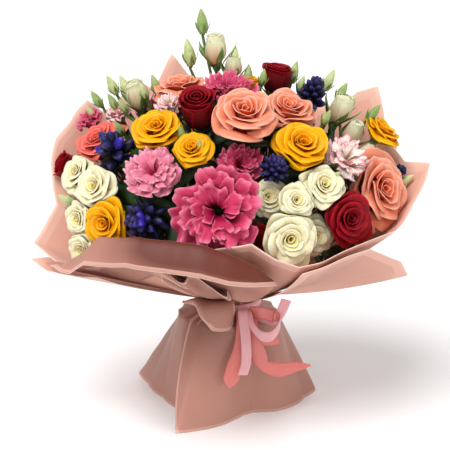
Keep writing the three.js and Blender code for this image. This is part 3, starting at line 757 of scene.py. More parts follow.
def skirt_point(s, t):
    start = LAP["starts"] + LAP["slant"] * t**1.4
    angle = start + s * (LAP["ends"] - start)
    under = LAP["depth"] * eased(s, 0.93, 0.97)  # the end that is lapped over lies inside
    if t < SHOULDER["part"]:
        share = t / SHOULDER["part"]
        gather = 2 * math.cos(math.radians(angle * 12))
        out = SKIRT_NECK["radius"] + gather + (SHOULDER["radius"] - SKIRT_NECK["radius"]) * share**1.6
        drop = (SKIRT_NECK["height"] - SHOULDER["height"]) * share**2.5
        return polar(angle, out - under, SKIRT_NECK["height"] - drop)
    share = (t - SHOULDER["part"]) / (1 - SHOULDER["part"])
    out = SHOULDER["radius"] + (along(HEM, angle)[0] - SHOULDER["radius"]) * share
    fold = 7 * noise.noise(polar(angle, 2.6, share * 0.7 + 5))
    return polar(angle, out + fold * share * (1.15 - share) - under, SHOULDER["height"] * (1 - share))


bm = new_mesh()
share = grid_sheet(bm, 190, 34, skirt_point)
note_edges(bm, share, cut_round, narrow=4)
tone = bm.verts.layers.float["tone"]
# Painted shade, with dark stems showing through: the skirt is darker overall, more so near the tie under the
# bouquet and where its end is lapped under.
for v, (s, t) in share.items():
    v[tone] = 0.46 + 0.15 * eased(t, 0.6, 0.1) + 0.12 * eased(s, 0.9, 1)
skirt = piece("wrap_skirt_film", bm, [film], ["wrap_skirt"], thickness=FILM_THICKNESS)
print("skirt hem reaches", max(row[1] for row in HEM), "mm from the middle")

# %% [markdown]
# ## The frill at the tie
#
# The film that the tie pinches bunches up in front of it.

# %% Frill
FRILL_CORNERS = [  # compass angle, radius and height
    (225, 64, 123), (235, 61, 118), (245, 62, 109), (254, 61, 99), (262, 61, 94), (270, 57, 94),
    (278, 42, 107),
]
FRILL_RIM = smooth_path([Vector(corner) for corner in FRILL_CORNERS], 5)
FRILL_START, FRILL_RUN = 225, 53
FRILL_FOOT = 0.2  # the share of its length that lies in the tie


def frill_point(s, t):
    angle = FRILL_START + FRILL_RUN * s
    radius, height = along(FRILL_RIM, angle)
    inner, top = gathered(angle, LAYERS), NECK["top"]
    if t < FRILL_FOOT:
        return polar(angle, inner, NECK["bottom"] + (top - NECK["bottom"]) * t / FRILL_FOOT)
    crest = top + 21 * math.sin(math.pi * s) ** 0.5
    arch = ((inner, top), (inner + 14, top + 10), (radius + 12, crest), (radius, height))
    out, up = bezier(arch, (t - FRILL_FOOT) / (1 - FRILL_FOOT))
    loose = t * t  # the ruffles grow towards the rim
    out += 6 * loose * math.sin(s * 14 + 1.5 * math.sin(s * 5))
    up += 1.5 * loose * math.cos(s * 9)
    return polar(angle + 3 * loose * math.cos(s * 14), out, up)


bm = new_mesh()
# tone 0.5 is painted shade below the rolled lip, with dark stems showing through
share = grid_sheet(bm, 90, 20, frill_point, tone=0.5)
note_edges(bm, share, cut_round, narrow=3)
frill = piece("wrap_frill_film", bm, [film], ["wrap_frill"], thickness=FILM_THICKNESS)
print("frill bunched round", FRILL_RUN, "degrees of the tie")

# %% [markdown]
# ## Flowers
#
# A rose is a nest of whorls, each with a few petals, and the outer whorls open further. A petal is drawn in
# the flower's own terms, in flower radii. Its foot climbs in a curve to a shoulder, and from there the lip
# unfurls: it leaves at an angle and bends outwards at a steady rate, which is how a real lip rolls back.
# The sides bend more than the middle, so the lip comes to a soft point. One side of each petal is tucked
# under its neighbour. Waves along the lip make the ruffles of a lisianthus. The same function makes all the
# cup-shaped flowers.

# %% Forms of flowers
FORMS = {
    # whorls from the inside out: petals, how far out and how high their lips come, half the angle they wrap
    "openRose": dict(
        whorls=[(2, 0.12, 0.98, 140), (3, 0.24, 1.05, 104), (4, 0.42, 1.07, 78), (4, 0.62, 1.02, 66),
                (5, 0.84, 0.9, 58), (5, 1.07, 0.7, 54)],
        aim=(96, 40), bend=(0.3, 1.6), lip=(0.1, 0.48), bulb=(0.95, 0.12),
        ruffle=0.045, waves=1.6, tuck=0.12, point=1.0, wild=1),
    "sprayRose": dict(
        whorls=[(2, 0.13, 0.92, 150), (3, 0.25, 0.98, 105), (3, 0.4, 1.02, 84), (4, 0.58, 1.0, 66),
                (5, 0.8, 0.92, 54), (6, 1.05, 0.74, 46)],
        aim=(94, 36), bend=(0.3, 1.7), lip=(0.09, 0.46), bulb=(0.95, 0.12),
        ruffle=0.035, waves=1.7, tuck=0.12, point=1.5, wild=1),
    "cupRose": dict(
        whorls=[(2, 0.13, 1.84, 150), (3, 0.28, 1.9, 104), (3, 0.46, 1.88, 90), (3, 0.66, 1.84, 84),
                (4, 0.86, 1.74, 70)],
        aim=(100, 98), bend=(0.2, 2.0), lip=(0.1, 0.3), bulb=(1.28, 0.1),
        ruffle=0.02, waves=1.3, tuck=0.06, point=0.4, wild=0.8),
    "halfOpen": dict(
        whorls=[(3, 0.26, 1.94, 104), (3, 0.42, 2.0, 88), (4, 0.56, 1.92, 70)],
        aim=(104, 112), bend=(0.3, 0.7), lip=(0.3, 0.5), bulb=(1.55, 0.08),
        ruffle=0.05, waves=1.6, tuck=0.06, point=0.9, wild=0.8),
    "lisianthus": dict(
        whorls=[(3, 0.24, 0.58, 60), (5, 0.37, 0.84, 44), (7, 0.5, 0.98, 34), (8, 0.65, 0.98, 30),
                (9, 0.8, 0.86, 28), (9, 0.95, 0.62, 29)],
        aim=(100, 20), bend=(0.2, 1.2), lip=(0.2, 0.42), bulb=(0.7, 0.12),
        ruffle=0.17, waves=1.3, tuck=0.12, point=-0.5, wild=2),
}
RUFFLED = {"peach": 1.8, "coral": 1.4, "white": 1.3}  # garden roses have wavier petals
print({kind: sum(whorl[0] for whorl in form["whorls"]) for kind, form in FORMS.items()}, "petals")


# %% One petal
CUP_PART = 0.45  # the share of a petal's length below its shoulder
FOOT_RADIUS = 0.1
PETAL_SEED = 1795541112  # without one the vector noise starts from the clock and each run differs
noise.seed_set(PETAL_SEED)


def between(pair, share):
    return pair[0] + (pair[1] - pair[0]) * share


def unfurl(shoulder, aim, bend, length, share):
    """Where a lip is after a share of its length, leaving at the angle aim and bending outwards by bend."""
    curve = length / bend
    return (shoulder[0] + curve * (math.sin(aim) - math.sin(aim - bend * share)),
            shoulder[1] + curve * (math.cos(aim - bend * share) - math.cos(aim)))


def open_petal(bm, form, colour, whorl, angle, inner, odd, fine):
    """One petal, in flower radii, the flower's axis upwards. The point odd makes it unlike the others."""
    _, reach, rise, wrap = whorl
    unlike = noise.noise_vector(odd) * form["wild"]
    reach, rise, angle = reach * (1 + 0.12 * unlike.x), rise + 0.09 * unlike.y * reach, angle + 0.4 * unlike.z
    aim = math.radians(between(form["aim"], reach) + 24 * unlike.x)
    bend, lip = between(form["bend"], reach) * (1 + 0.3 * unlike.y), between(form["lip"], reach)
    out, up = unfurl((0, 0), aim, bend, lip, 1)
    crest = unfurl((0, 0), aim, bend, lip, min(1, max(0, aim / bend)))[1]
    shoulder = (max(0.06, reach - out), rise - max(up, crest))
    wide, low = form["bulb"]
    phase, waves = 9 * unlike.x, form["waves"] * (1 + 0.35 * unlike.z)
    wrap = math.radians(wrap)
    ruffle = form["ruffle"] * RUFFLED.get(colour, 1)

    def place(s, t):
        x = 2 * s - 1
        drop = 0.1 * lip * x * x + form["point"] * 0.22 * lip * abs(x) ** 1.5
        top = (shoulder[0], shoulder[1] - drop)
        if t <= CUP_PART:
            back = 0.3 * top[1]
            belly = (FOOT_RADIUS + (top[0] * wide - FOOT_RADIUS) * 0.9, low * rise)
            below_top = (top[0] - back * math.cos(aim), top[1] - back * math.sin(aim))
            out, up = bezier(((FOOT_RADIUS, 0), belly, below_top, top), t / CUP_PART)
            free = 0
        else:
            free = (t - CUP_PART) / (1 - CUP_PART)
            out, up = unfurl(top, aim, bend * (0.8 + 0.45 * x * x), lip * (1 - 0.42 * abs(x) ** 3), free)
        wave = math.sin(math.pi * waves * x + phase) + 0.6 * math.sin(math.pi * 2.6 * waves * x + 2 * phase)
        wave *= ruffle * free**2 * (0.4 + 0.6 * reach)
        out, up = out * (1 + form["tuck"] * x) + 0.45 * wave, up + wave
        turn = angle + wrap * x * (0.7 + 0.3 * min(1, t / CUP_PART))
        spot = Vector((out * math.cos(turn), out * math.sin(turn), up))
        crumple = 0.05 * t + ruffle * 0.3 * free
        return spot + noise.noise_vector(spot * 2.6 + odd) * crumple * min(1, reach + 0.3)

    grid_sheet(bm, *fine, place, tone=0.5 + 0.5 * unlike.z / form["wild"], inner=inner)


lip_end = unfurl((0, 0), math.pi / 2, 1.6, 0.48, 1)
print("a lip that leaves upright ends", [round(c, 2) for c in lip_end], "away")


# %% A spiral of petals
FINE = {"lisianthus": (14, 8)}  # faces across and along a petal, more where it is frilled
PLAIN = (8, 9)


def blossom(head):
    form, seed = FORMS[head.kind], heads.index(head)
    bm = new_mesh()
    whorls = form["whorls"]
    for ring, whorl in enumerate(whorls):
        inner = max(0, 1 - 1.5 * ring / (len(whorls) - 1))
        for k in range(whorl[0]):
            odd = Vector((ring * 3.7 + k * 1.31 + 0.37, seed * 2.13 + 0.71, k * 0.77))
            angle = 2 * math.pi * k / whorl[0] + ring * GOLDEN
            open_petal(bm, form, head.colour, whorl, angle, inner, odd, FINE.get(head.kind, PLAIN))
    return bm


bm = blossom(heads[1])
print("an open rose has", len(bm.faces), "faces before it is rounded")
bm.free()

# %% [markdown]
# Heads in a tied bouquet press on each other and on the film. `press` does the same to the petals: past the
# plane between two heads they are slid back softly, and nothing passes a sheet of film.

# %% Pressing the heads together
def inside_film(spot, heart, gap=1.2):
    """The spot, or the place just inside the film if a sheet lies between it and the heart."""
    for wall in film_walls:
        ray = spot - heart
        distance = wall.ray_cast(heart, ray.normalized(), ray.length + gap)[3]
        if distance is not None:
            spot = heart + ray.normalized() * min(ray.length, max(0, distance - gap))
    return spot


PRESS_GAP = 0.4
SOFT_PART = 0.3  # the part of a radius over which a petal gives way


def press(bm, head):
    planes = []
    for other in heads:
        apart, radii = other.centre - head.centre, head.radius + other.radius
        if other is not head and apart.length < 1.3 * radii:
            limit = apart.length * head.radius / radii - PRESS_GAP
            planes.append((apart.normalized(), limit, SOFT_PART * head.radius))
    for v in bm.verts:
        for way, limit, soft in planes:
            past = (v.co - head.centre).dot(way) - (limit - soft)
            if past > 0:
                v.co -= way * (past - soft * math.tanh(past / soft))
        v.co = inside_film(v.co, head.base + head.axis * 0.3 * head.radius)


print(len(film_walls), "sheets hold the petals in")

# %% Petals of roses and lisianthus
FULLNESS = {  # how much further the petals reach out than the plain head, to meet their neighbours
    "openRose": 1.14, "sprayRose": 1.14, "hyacinth": 1.14, "cupRose": 1.06, "halfOpen": 1.06,
    "lisianthus": 1.0,
}
CRAMPED = {"rose_peach_1": 1.03}  # it has less room than the others
LIGHT_PINK = {"lisianthus_pink_2", "lisianthus_pink_6"}
PETAL_THICKNESS = 0.35


def grown(head, bm):
    """Moves a flower from its own terms to its place in the bouquet, and presses it in."""
    wide = head.radius * CRAMPED.get(head.name, FULLNESS[head.kind])
    size = Matrix.Diagonal((wide, wide, head.radius, 1))
    turn = Matrix.Translation(head.base) @ head.turn.to_matrix().to_4x4() @ size
    bmesh.ops.transform(bm, matrix=turn, verts=bm.verts)
    press(bm, head)
    return bm


for head in heads:
    if head.kind != "hyacinth":
        finish = petals["rosy" if head.name in LIGHT_PINK else head.colour]
        bm = grown(head, blossom(head))
        piece(f"{head.name}_petals", bm, [finish], [head.name],
              smooth=1, thickness=PETAL_THICKNESS)
print("petals laid for", sum(head.kind != "hyacinth" for head in heads), "heads")

# %% [markdown]
# ## Hyacinths
#
# A hyacinth is a stalk set with closed florets, each a slim three-ribbed bud. The lower ones stand out, the
# top ones point up. The one at the left has fewer, larger flowers that are about to open.

# %% Hyacinths
FLORETS = 34
LARGE_FLORETS = {"hyacinth_violet_1": 14, "hyacinth_violet_2": 24}
HIGHLIT_FLORETS = {"hyacinth_violet_1": (5, 9), "hyacinth_violet_2": (19, 21)}  # painted highlight: these florets take the bright violet finish, as a purple shine
FLORET = [(0, 0.45), (0.2, 0.85), (0.45, 1.05), (0.7, 0.95), (0.9, 0.5), (1, 0.1)]  # a share along, how thick
FLORET_RADIUS = 0.2
STALK = [(0, 0.2), (0.6, 0.3), (1.2, 0.24), (1.6, 0.1)]  # height and radius


def hyacinth(head):
    bm = new_mesh()
    count = LARGE_FLORETS.get(head.name, FLORETS)
    size = (22 / count) ** 0.4
    tube(bm, [UP * z for z, _ in STALK], [radius for _, radius in STALK], 6, tone=0.2, inner=1)
    radii = [FLORET_RADIUS * size * thick for _, thick in FLORET]
    for i in range(count):
        share = i / (count - 1)
        lift = math.radians(-12 + 92 * share**1.2)
        turn, flat = i * GOLDEN, math.cos(lift)
        way = Vector((math.cos(turn) * flat, math.sin(turn) * flat, math.sin(lift)))
        root = UP * (0.3 + 0.95 * share) + way * 0.08
        length = (0.8 - 0.22 * share + 0.12 * noise.noise(Vector((i * 1.3, head.radius, 0)))) * size
        path = [root + way * length * t + UP * (0.14 * t * t * (1 - share)) for t, _ in FLORET]
        tone = 0.5 + 0.5 * noise.noise(Vector((i * 2.1, head.radius, 3)))
        # painted highlight on a few florets
        bright = i in HIGHLIT_FLORETS.get(head.name, ())
        tube(bm, path, radii, 9, lobes=3, lobing=0.16, twist=0.9, finish=int(bright), tone=tone, inner=0)
    bmesh.ops.recalc_face_normals(bm, faces=bm.faces)
    return bm


for head in heads:
    if head.kind == "hyacinth":
        bm = grown(head, hyacinth(head))
        finishes = [petals["violet"], petals["bright violet"]]
        piece(f"{head.name}_florets", bm, finishes, [head.name], smooth=1)
print("florets set on", sum(head.kind == "hyacinth" for head in heads), "stalks")

# %% [markdown]
# ## Stems, buds and leaves
#
# Every head's stem runs on through the tie to its cut end on the table, and they cross in a spiral, as in a
# hand-tied bouquet. The head that leans out most gets an outer place in the tie. Buds stand on side stalks,
# and leaves, nearly black as painted shade, fill the gaps below the heads.

# %% Green finishes
def green_finish(name, dark, light, rough=0.45):
    made, tree, shader = material(name, Roughness=rough, Subsurface_Weight=0.12, Subsurface_Scale=0.003,
                                  Subsurface_Radius=(0.5, 1.0, 0.3))
    spot = add_node(tree, "ShaderNodeTexCoord").outputs["Object"]
    mottled = add_node(tree, "ShaderNodeTexNoise", spot, None, 160.0, 3.0).outputs[0]
    tone = maths(tree, "ADD", attribute(tree, "tone"), maths(tree, "MULTIPLY_ADD", mottled, 0.5, -0.25))
    colour = mixed(tree, ramp(tree, tone, 0.0, 1.0), screen(*dark), screen(*light))
    tree.links.new(colour, shader.inputs["Base Color"])
    place = add_node(tree, "ShaderNodeUVMap", uv_map="UVMap").outputs[0]
    ribs = add_node(tree, "ShaderNodeTexWave", place, 9.0, 1.5, 2.0, bands_direction="DIAGONAL").outputs[1]
    dent(tree, shader, ribs, 0.25, 0.0008)
    return made


stem_green = green_finish("Stem green", (52, 84, 40), (104, 138, 70))
bud_green = green_finish("Bud green", (112, 146, 62), (222, 226, 168), rough=0.5)
sepal_green = green_finish("Sepal green", (74, 108, 44), (142, 166, 92), rough=0.5)
# nearly black: leaf green and painted shade in the gaps between the heads
leaf_and_shade_green = green_finish("Leaf green and painted shade", (10, 24, 12), (46, 78, 34))
print("green finishes ready")

# %% Stems
STEM_BEND = 32  # so far under its head a stem bends towards the tie
STEM_RADIUS = 2.1
TIE_RADIUS = 16
LAPS = [(-58, 1.9, 0), (-24, 1.3, 55), (0, 0.95, 100)]  # turn, spread and height on the way up to the tie
CUPS = ("cupRose", "halfOpen")  # these sit on wider seats


def neck_places():
    """A place in the tie for each head, outer places for the heads that lean out most."""
    spots = [(TIE_RADIUS * math.sqrt((i + 0.5) / len(heads)), i * GOLDEN) for i in range(len(heads))]
    free, given_to = list(heads), {}
    for radius, angle in reversed(spots):
        here = Vector((math.cos(angle), math.sin(angle))) * radius / TIE_RADIUS
        best = min(free, key=lambda head: (head.axis.xy - here).length)
        free.remove(best)
        given_to[best.name] = (radius, math.degrees(angle))
    return given_to


tie = neck_places()
stems = new_mesh()
for head in heads:
    radius, angle = tie[head.name]
    seat = head.radius * (0.3 if head.kind in CUPS else 0.22)
    way = [polar(angle + turn, radius * spread, height) for turn, spread, height in LAPS]
    way += [polar(angle, radius * 1.02, 118), head.under(STEM_BEND), head.under(0.22 * head.radius + 3)]
    path = smooth_path(way, 4)
    hip = [head.under(0.1 * head.radius + 1.5), head.under(-0.03 * head.radius)]
    radii = [STEM_RADIUS] * (len(path) - 1) + [STEM_RADIUS + 0.2, seat * 0.9, seat]
    tube(stems, path + hip, radii, 7, tone=0.35 + 0.3 * noise.noise(head.base))
print(len(tie), "stems through a tie of", TIE_RADIUS, "mm radius")

# %% Buds on side stalks
BUDS = [  # how far across and up the front view shows a tip, and the bud's length
    (-27, 392, 26), (-41, 362, 28), (7, 356, 20), (21, 337, 22), (36, 331, 18), (-121, 326, 22),
    (-108, 326, 22), (-137, 311, 20), (-120, 308, 18), (-141, 295, 20), (-76, 327, 22), (-87, 317, 18),
    (-106, 300, 16), (-111, 278, 18), (-47, 272, 18), (-28, 258, 16), (69, 340, 24), (76, 326, 18),
    (106, 332, 24), (119, 319, 22), (128, 306, 20), (152, 297, 22), (99, 288, 18), (-166, 206, 24),
    (186, 227, 22), (179, 217, 18), (107, 228, 16),
]
BUD_STAND = 1.06
HIGH_BUDS = {"above": 280, "stand": 1.13}  # the buds on top stand well clear of the flowers
BUD_FORM = [  # a share along, how thick
    (0, 0.5), (0.12, 0.85), (0.28, 1), (0.45, 0.98), (0.62, 0.84), (0.8, 0.54), (0.93, 0.26), (1, 0.1),
]
BRANCHING = [0.06, 0.16, 0.26, 0.36]  # how far down a stem the side stalks leave it, in turn


def tie_top(head):
    radius, angle = tie[head.name]
    return polar(angle, radius, 120)


def branching(place, i):
    """A point on the stem whose bend is nearest, a little lower each time."""
    bends = [(head.under(STEM_BEND), tie_top(head)) for head in heads]
    bend, root = min(bends, key=lambda pair: (pair[0] - place).length)
    return bend.lerp(root, BRANCHING[i % len(BRANCHING)])


buds, greens = new_mesh(), new_mesh()
sepal_frames = []
for i, (across, up, length) in enumerate(BUDS):
    tip = on_dome(across, up, HIGH_BUDS["stand"] if up > HIGH_BUDS["above"] else BUD_STAND)
    axis = ((tip - HEAD_FOCUS).normalized() + UP * 0.5).normalized()
    foot, neck, low = (tip - axis * (length + below) for below in (0, 8, 30))
    stalk = smooth_path([branching(low, i), neck, foot], 6)
    tube(stems, stalk, [1.5] * (len(stalk) - 3) + [1.4, 1.4, 2.0], 6, tone=0.5)
    width = length * 0.23
    body, radii = [tip.lerp(foot, 1 - t) for t, _ in BUD_FORM], [width * thick for _, thick in BUD_FORM]
    tone = 0.15 + 0.75 * abs(noise.noise(tip * 0.37)) ** 0.5
    tube(buds, body, radii, 10, lobes=5, lobing=0.06, twist=2.2, tone=tone)
    sepal_frames.append((foot, axis, width, length * 0.5))
print(len(BUDS), "buds")

# %% [markdown]
# A sepal is a slim green tongue. Five of them hug each bud and each half-open flower, and stand under each
# rose.

# %% Sepals
def tongue(bm, root, way, out, length, width, bow, size=(2, 5), fold=0.2, tone=0.5, wave=0.0, finish=1):
    """A leaf-shaped sheet from root along way, its face turned to out, bowed that way by bow."""
    side = way.cross(out).normalized()

    def place(s, t):
        x = 2 * s - 1
        belly = max(0.04, math.sin(math.pi * min(1, t * 0.96 + 0.04) ** 0.8))
        half = width / 2 * belly * (1 if t < 0.98 else 0.3)
        rise = bow * math.sin(math.pi * t * 0.5) ** 2 + fold * abs(x) * half + wave * math.sin(t * 11 + x * 2)
        return root + way * length * t + side * x * half + out * rise

    grid_sheet(bm, *size, place, finish, tone=tone)


def sepals(bm, root, axis, ring, length, width, bow, turn=0.0, count=5):
    turned = facing(axis)
    for k in range(count):
        angle = turn + 2 * math.pi * k / count
        out = turned @ Vector((math.cos(angle), math.sin(angle), 0))
        tongue(bm, root + out * ring, (axis + out * 0.1).normalized(), out, length, width, bow)


HUGGING = (0.34, 1.5, 0.42, 0.8)  # how far from the axis they start, length, width and bow, in flower radii
SPREAD = (0.16, 0.62, 0.26, 0.5)
for root, axis, width, length in sepal_frames:
    sepals(greens, root, axis, width * 0.55, length, width * 0.55, width * 0.6)
for order, head in enumerate(heads):
    if head.kind == "halfOpen":
        sepals(greens, head.under(1), head.axis, *(head.radius * share for share in HUGGING))
    elif "Rose" in head.kind:
        sepals(greens, head.under(1), head.axis * 0.55, *(head.radius * share for share in SPREAD), order)
print(len(greens.faces), "faces of sepals")

# %% [markdown]
# Leaves stand between the heads, where the dome would let daylight through. They are real leaves, coloured
# nearly black as painted shade in those gaps. Each grows from a fork on the nearest stem. Then whatever would
# come up through a flower or out through the film is drawn back inside.

# %% Filling leaves
FILLING_LEAVES = 170
LEAF_LENGTH, LEAF_WIDTH = (40, 56), (15, 22)
LEAF_THICKNESS = 0.4
LEAF_HEART = HEAD_FOCUS - UP * 25
draw = random.Random(7)


def below_heads(spot):
    """Sinks a point that would stand up through a flower into the hollow under it."""
    for head in heads:
        height = (spot - head.base).dot(head.axis)
        aside = (spot - head.base - head.axis * height).length / head.radius
        allowed = head.radius * (-0.2 + 0.9 * aside**4)
        if aside < 1.05 and -head.radius < allowed < height:
            spot = spot - head.axis * (height - allowed)
    return spot


def filling_leaf(i):
    height = 1 - 1.1 * (i + 0.5) / FILLING_LEAVES
    flat = math.sqrt(max(0, 1 - height * height))
    way = Vector((math.cos(i * GOLDEN) * flat, math.sin(i * GOLDEN) * flat, height))
    middle = Vector(c + h * w * 0.8 for c, h, w in zip(DOME_CENTRE, DOME_HALF, way)) + UP * 10
    middle = inside_film(middle, LEAF_HEART, 16)
    out = (middle - HEAD_FOCUS).normalized()
    side = out.orthogonal().normalized()
    side.rotate(Quaternion(out, draw.uniform(0, 2 * math.pi)))
    length, width = draw.uniform(*LEAF_LENGTH), draw.uniform(*LEAF_WIDTH)
    root = inside_film(middle - side * length * 0.45 - out * 8, LEAF_HEART, 8)
    way = (side + out * 0.25).normalized()
    tongue(greens, root, way, out, length, width, 4, (4, 7), -0.25, draw.uniform(0, 0.8), 0.8, 0)
    fork = branching(root, i)
    tube(stems, [fork, root.lerp(fork, 0.4), root + (middle - root) * 0.1], [1.2, 1.0, 0.8], 5, tone=0.2)


for i in range(FILLING_LEAVES):
    filling_leaf(i)
print(FILLING_LEAVES, "filling leaves")

# %% Keeping the green inside
CLEAR_OF_TIE = 150  # above this height nothing green may come through the film
LEAF_GAP, SEPAL_GAP, STEM_GAP = 11, 5, 4
LONG = 15  # stretches of stem longer than this are split, so that they follow the film

for v in greens.verts:
    if any(not face.material_index for face in v.link_faces):
        v.co = inside_film(below_heads(v.co), LEAF_HEART, LEAF_GAP)
    else:
        v.co = inside_film(v.co, LEAF_HEART, SEPAL_GAP)
upper = [edge for edge in stems.edges if max(v.co.z for v in edge.verts) > CLEAR_OF_TIE]
long_ones = [edge for edge in upper if edge.calc_length() > LONG]
bmesh.ops.subdivide_edges(stems, edges=long_ones, cuts=4, use_grid_fill=True)
for v in stems.verts:
    if v.co.z > CLEAR_OF_TIE:
        v.co = inside_film(v.co, LEAF_HEART, STEM_GAP)
print(len(long_ones), "stretches of stem split")

# %% Green pieces
for bm in (stems, buds):
    for v in bm.verts:
        v.co.z = max(v.co.z, 0)
    bmesh.ops.recalc_face_normals(bm, faces=bm.faces)
piece("stems", stems, [stem_green], ["stems_and_buds"])
piece("bud_bodies", buds, [bud_green], smooth=1)
piece("leaves_and_sepals", greens, [leaf_and_shade_green, sepal_green], thickness=LEAF_THICKNESS)
print("green pieces placed")

# %% [markdown]
# ## Ribbons
#
# Two satin ribbons are tied round the neck. A ribbon is a long sheet: its middle line is a smooth path, and
# a vector says which way its width lies.

# %% Ribbons
def satin_finish(name, body, painted_sheen):
    made, tree, shader = material(name, Roughness=0.32, Sheen_Weight=0.4, Sheen_Roughness=0.3,
                                  Anisotropic=0.5, Subsurface_Weight=0.15, Subsurface_Scale=0.003)
    place = add_node(tree, "ShaderNodeUVMap", uv_map="UVMap").outputs[0]
    u, v, _ = add_node(tree, "ShaderNodeSeparateXYZ", place).outputs
    spread = (maths(tree, "MULTIPLY", u, 40.0), maths(tree, "MULTIPLY", v, 6.0), 0.0)
    stretched = add_node(tree, "ShaderNodeCombineXYZ", *spread).outputs[0]
    threads_and_sheen = add_node(tree, "ShaderNodeTexNoise", stretched, None, 1.0, 2.0).outputs[0]
    # painted sheen: lighter streaks along the threads; the same noise also dents the surface as threads
    colour = mixed(tree, ramp(tree, threads_and_sheen, 0.3, 0.75), screen(*body), screen(*painted_sheen))
    tree.links.new(colour, shader.inputs["Base Color"])
    dent(tree, shader, threads_and_sheen, 0.08, 0.0004)
    return made


pale_satin = satin_finish("Pale pink satin", (226, 162, 168), (234, 178, 182))
coral_satin = satin_finish("Coral satin", (212, 112, 104), (222, 130, 122))
print("satin of two colours")

# %% A strip of ribbon
RIBBON_WIDTH = 10
RIBBON_THICKNESS = 0.4


def ribbon(bm, path, across, across_end=None, turning=(0, 1), steps=8, finish=0, point=0.0):
    """A strip along a path. Its width turns from across to across_end within a part of the way, and over the
    last share called point it narrows to a rounded end."""
    line = smooth_path([Vector(p) for p in path], steps)
    last = len(line) - 1
    across_end = across if across_end is None else across_end

    def place(s, t):
        i = min(int(t * last), last - 1)
        middle = line[i].lerp(line[i + 1], t * last - i)
        narrow = max(0.05, min(1, (1 - t) / point)) ** 0.6 if point else 1
        return middle + across.lerp(across_end, eased(t, *turning)) * (s - 0.5) * narrow

    grid_sheet(bm, 6, last, place, finish)


def wide(x, y=0.0, z=0.0):
    return Vector((x, y, z)).normalized() * RIBBON_WIDTH


print("a ribbon is", RIBBON_WIDTH, "mm wide, and the coral one up to", round(1.7 * RIBBON_WIDTH))

# %% The pale ribbon
BAND = {"radius": 33.4, "bottom": 103, "top": 112, "overlap": 0.5}
UPRIGHT = wide(0, 0.2, 1)


def band_point(s, t):
    """The band runs once round the neck, and its end lies over its start."""
    height = BAND["bottom"] + (BAND["top"] - BAND["bottom"]) * t
    return polar(360 * s - 90, BAND["radius"] + BAND["overlap"] * s, height)


bm = new_mesh()
grid_sheet(bm, 60, 3, band_point)
tail = [(14.5, -31, 110), (14.5, -46, 109), (17.5, -58, 86), (18, -65, 66), (14.5, -71, 53)]
ribbon(bm, tail, wide(-1))
loop = [(16, -34, 110), (20, -46, 108), (25, -56, 98), (33, -62, 91), (43, -62, 91), (50, -55, 97),
        (51, -47, 104), (40, -42, 106), (22, -37, 107)]
ribbon(bm, loop, -wide(1), -UPRIGHT, (0, 0.35))
strip_behind = [(24, -37, 106), (38, -42, 101), (47, -45, 101), (53, -43, 110), (58, -40, 121)]
ribbon(bm, strip_behind, -UPRIGHT, wide(1, 0, -0.3), (0.3, 0.7))
patch = [(22, -40, 108), (33, -45, 109), (45, -45, 105)]
ribbon(bm, patch, UPRIGHT * 1.2, finish=1)
pale_ribbon = piece("ribbon_pale_satin", bm, [pale_satin, coral_satin], ["ribbon_pale"],
                    thickness=RIBBON_THICKNESS, lining=1)
print("pale ribbon tied, in", len(pale_ribbon.data.polygons), "faces")

# %% The coral ribbon
bm = new_mesh()
tail = [(14, -34.8, 107), (16, -48, 102), (14, -57, 80), (6, -66, 58), (1, -72, 40)]
ribbon(bm, tail, wide(1) * 1.5, wide(1, 0, -0.2) * 1.6, point=0.12)
curled = [(20, -40, 105), (23, -52, 87), (29, -56, 71), (36, -58, 58), (50, -58, 54), (67, -56, 56),
          (82, -52, 56)]
ribbon(bm, curled, wide(1, 0, 0.2) * 1.7, wide(-0.2, 0.2, 1) * 1.6, (0.35, 0.65), point=0.35)
short_end = [(18, -48, 94), (34, -54, 84), (50, -56, 86)]
ribbon(bm, short_end, wide(-0.3, 0.2, 1) * 1.1)
coral_ribbon = piece("ribbon_coral_satin", bm, [coral_satin], ["ribbon_coral"],
                     thickness=RIBBON_THICKNESS)
print("coral ribbon tied, in", len(coral_ribbon.data.polygons), "faces")

# %% [markdown]
# ## Table, light and camera
#
# A plain pale table and a wide sun from the upper left front, whose shadows are as soft as those of a large
# lamp and which lights the far table as much as the near. A weaker lamp at the right, one behind, a low one
# in front of the film and a pale sky fill the shadows. The camera stands far away with a long lens, as the
# flat perspective of the view asks.

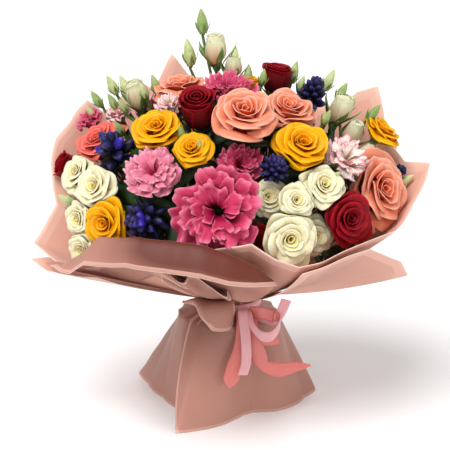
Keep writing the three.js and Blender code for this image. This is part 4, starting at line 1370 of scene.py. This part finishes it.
# %% Table
floor_mesh = bpy.data.meshes.new("table")
bm = bmesh.new()
bmesh.ops.create_grid(bm, x_segments=1, y_segments=1, size=6)
bm.to_mesh(floor_mesh)
bm.free()
table_finish, tree, shader = material("Pale table", Roughness=0.7)
shader.inputs["Base Color"].default_value = (0.86, 0.86, 0.86, 1)
floor_mesh.materials.append(table_finish)
floor = bpy.data.objects.new("table", floor_mesh)
bpy.context.scene.collection.objects.link(floor)
print("table laid")

# %% Light
LIT_POINT = Vector((0, 0, 0.2))
world = bpy.data.worlds.new("Soft studio")
world.use_nodes = True
world.node_tree.nodes["Background"].inputs[0].default_value = WHITE
world.node_tree.nodes["Background"].inputs[1].default_value = 0.4
bpy.context.scene.world = world
bpy.context.scene.view_settings.view_transform = "Standard"


def studio_light(name, kind, position, power, **settings):
    lamp = bpy.data.lights.new(name, kind)
    lamp.energy = power
    for key, value in settings.items():
        setattr(lamp, key, value)
    thing = bpy.data.objects.new(name, lamp)
    bpy.context.scene.collection.objects.link(thing)
    thing.location = position
    thing.rotation_euler = (LIT_POINT - thing.location).to_track_quat("-Z", "Y").to_euler()


studio_light("Key", "SUN", (-0.6, -0.8, 1.9), 3.0, angle=math.radians(40))
studio_light("Fill", "AREA", (1.4, -0.8, 0.7), 6, shape="DISK", size=1.2)
studio_light("Back", "AREA", (0.3, 1.3, 1.2), 8, shape="DISK", size=1.0)
studio_light("Low", "AREA", (-0.4, -1.5, 0.15), 4, shape="DISK", size=1.0)

# %% Camera
PICTURE = 450  # pixels on each side, one to a millimetre of the view through the bouquet's middle
DISTANCE = 2.2
FILM_BACK = 36  # the width of the camera's sensor, in millimetres
VIEW_MIDDLE = Vector((-0.003, 0, 0.186))
camera = bpy.data.objects.new("Camera", bpy.data.cameras.new("Camera"))
bpy.context.scene.collection.objects.link(camera)
camera.data.sensor_width = FILM_BACK
camera.data.lens = FILM_BACK * DISTANCE / (PICTURE * MM)
camera.data.clip_end = 50
sight = Vector((0, math.cos(TILT), -math.sin(TILT)))
camera.location = VIEW_MIDDLE - sight * DISTANCE
camera.rotation_euler = sight.to_track_quat("-Z", "Y").to_euler()
bpy.context.scene.camera = camera
print("lens", round(camera.data.lens), "mm")
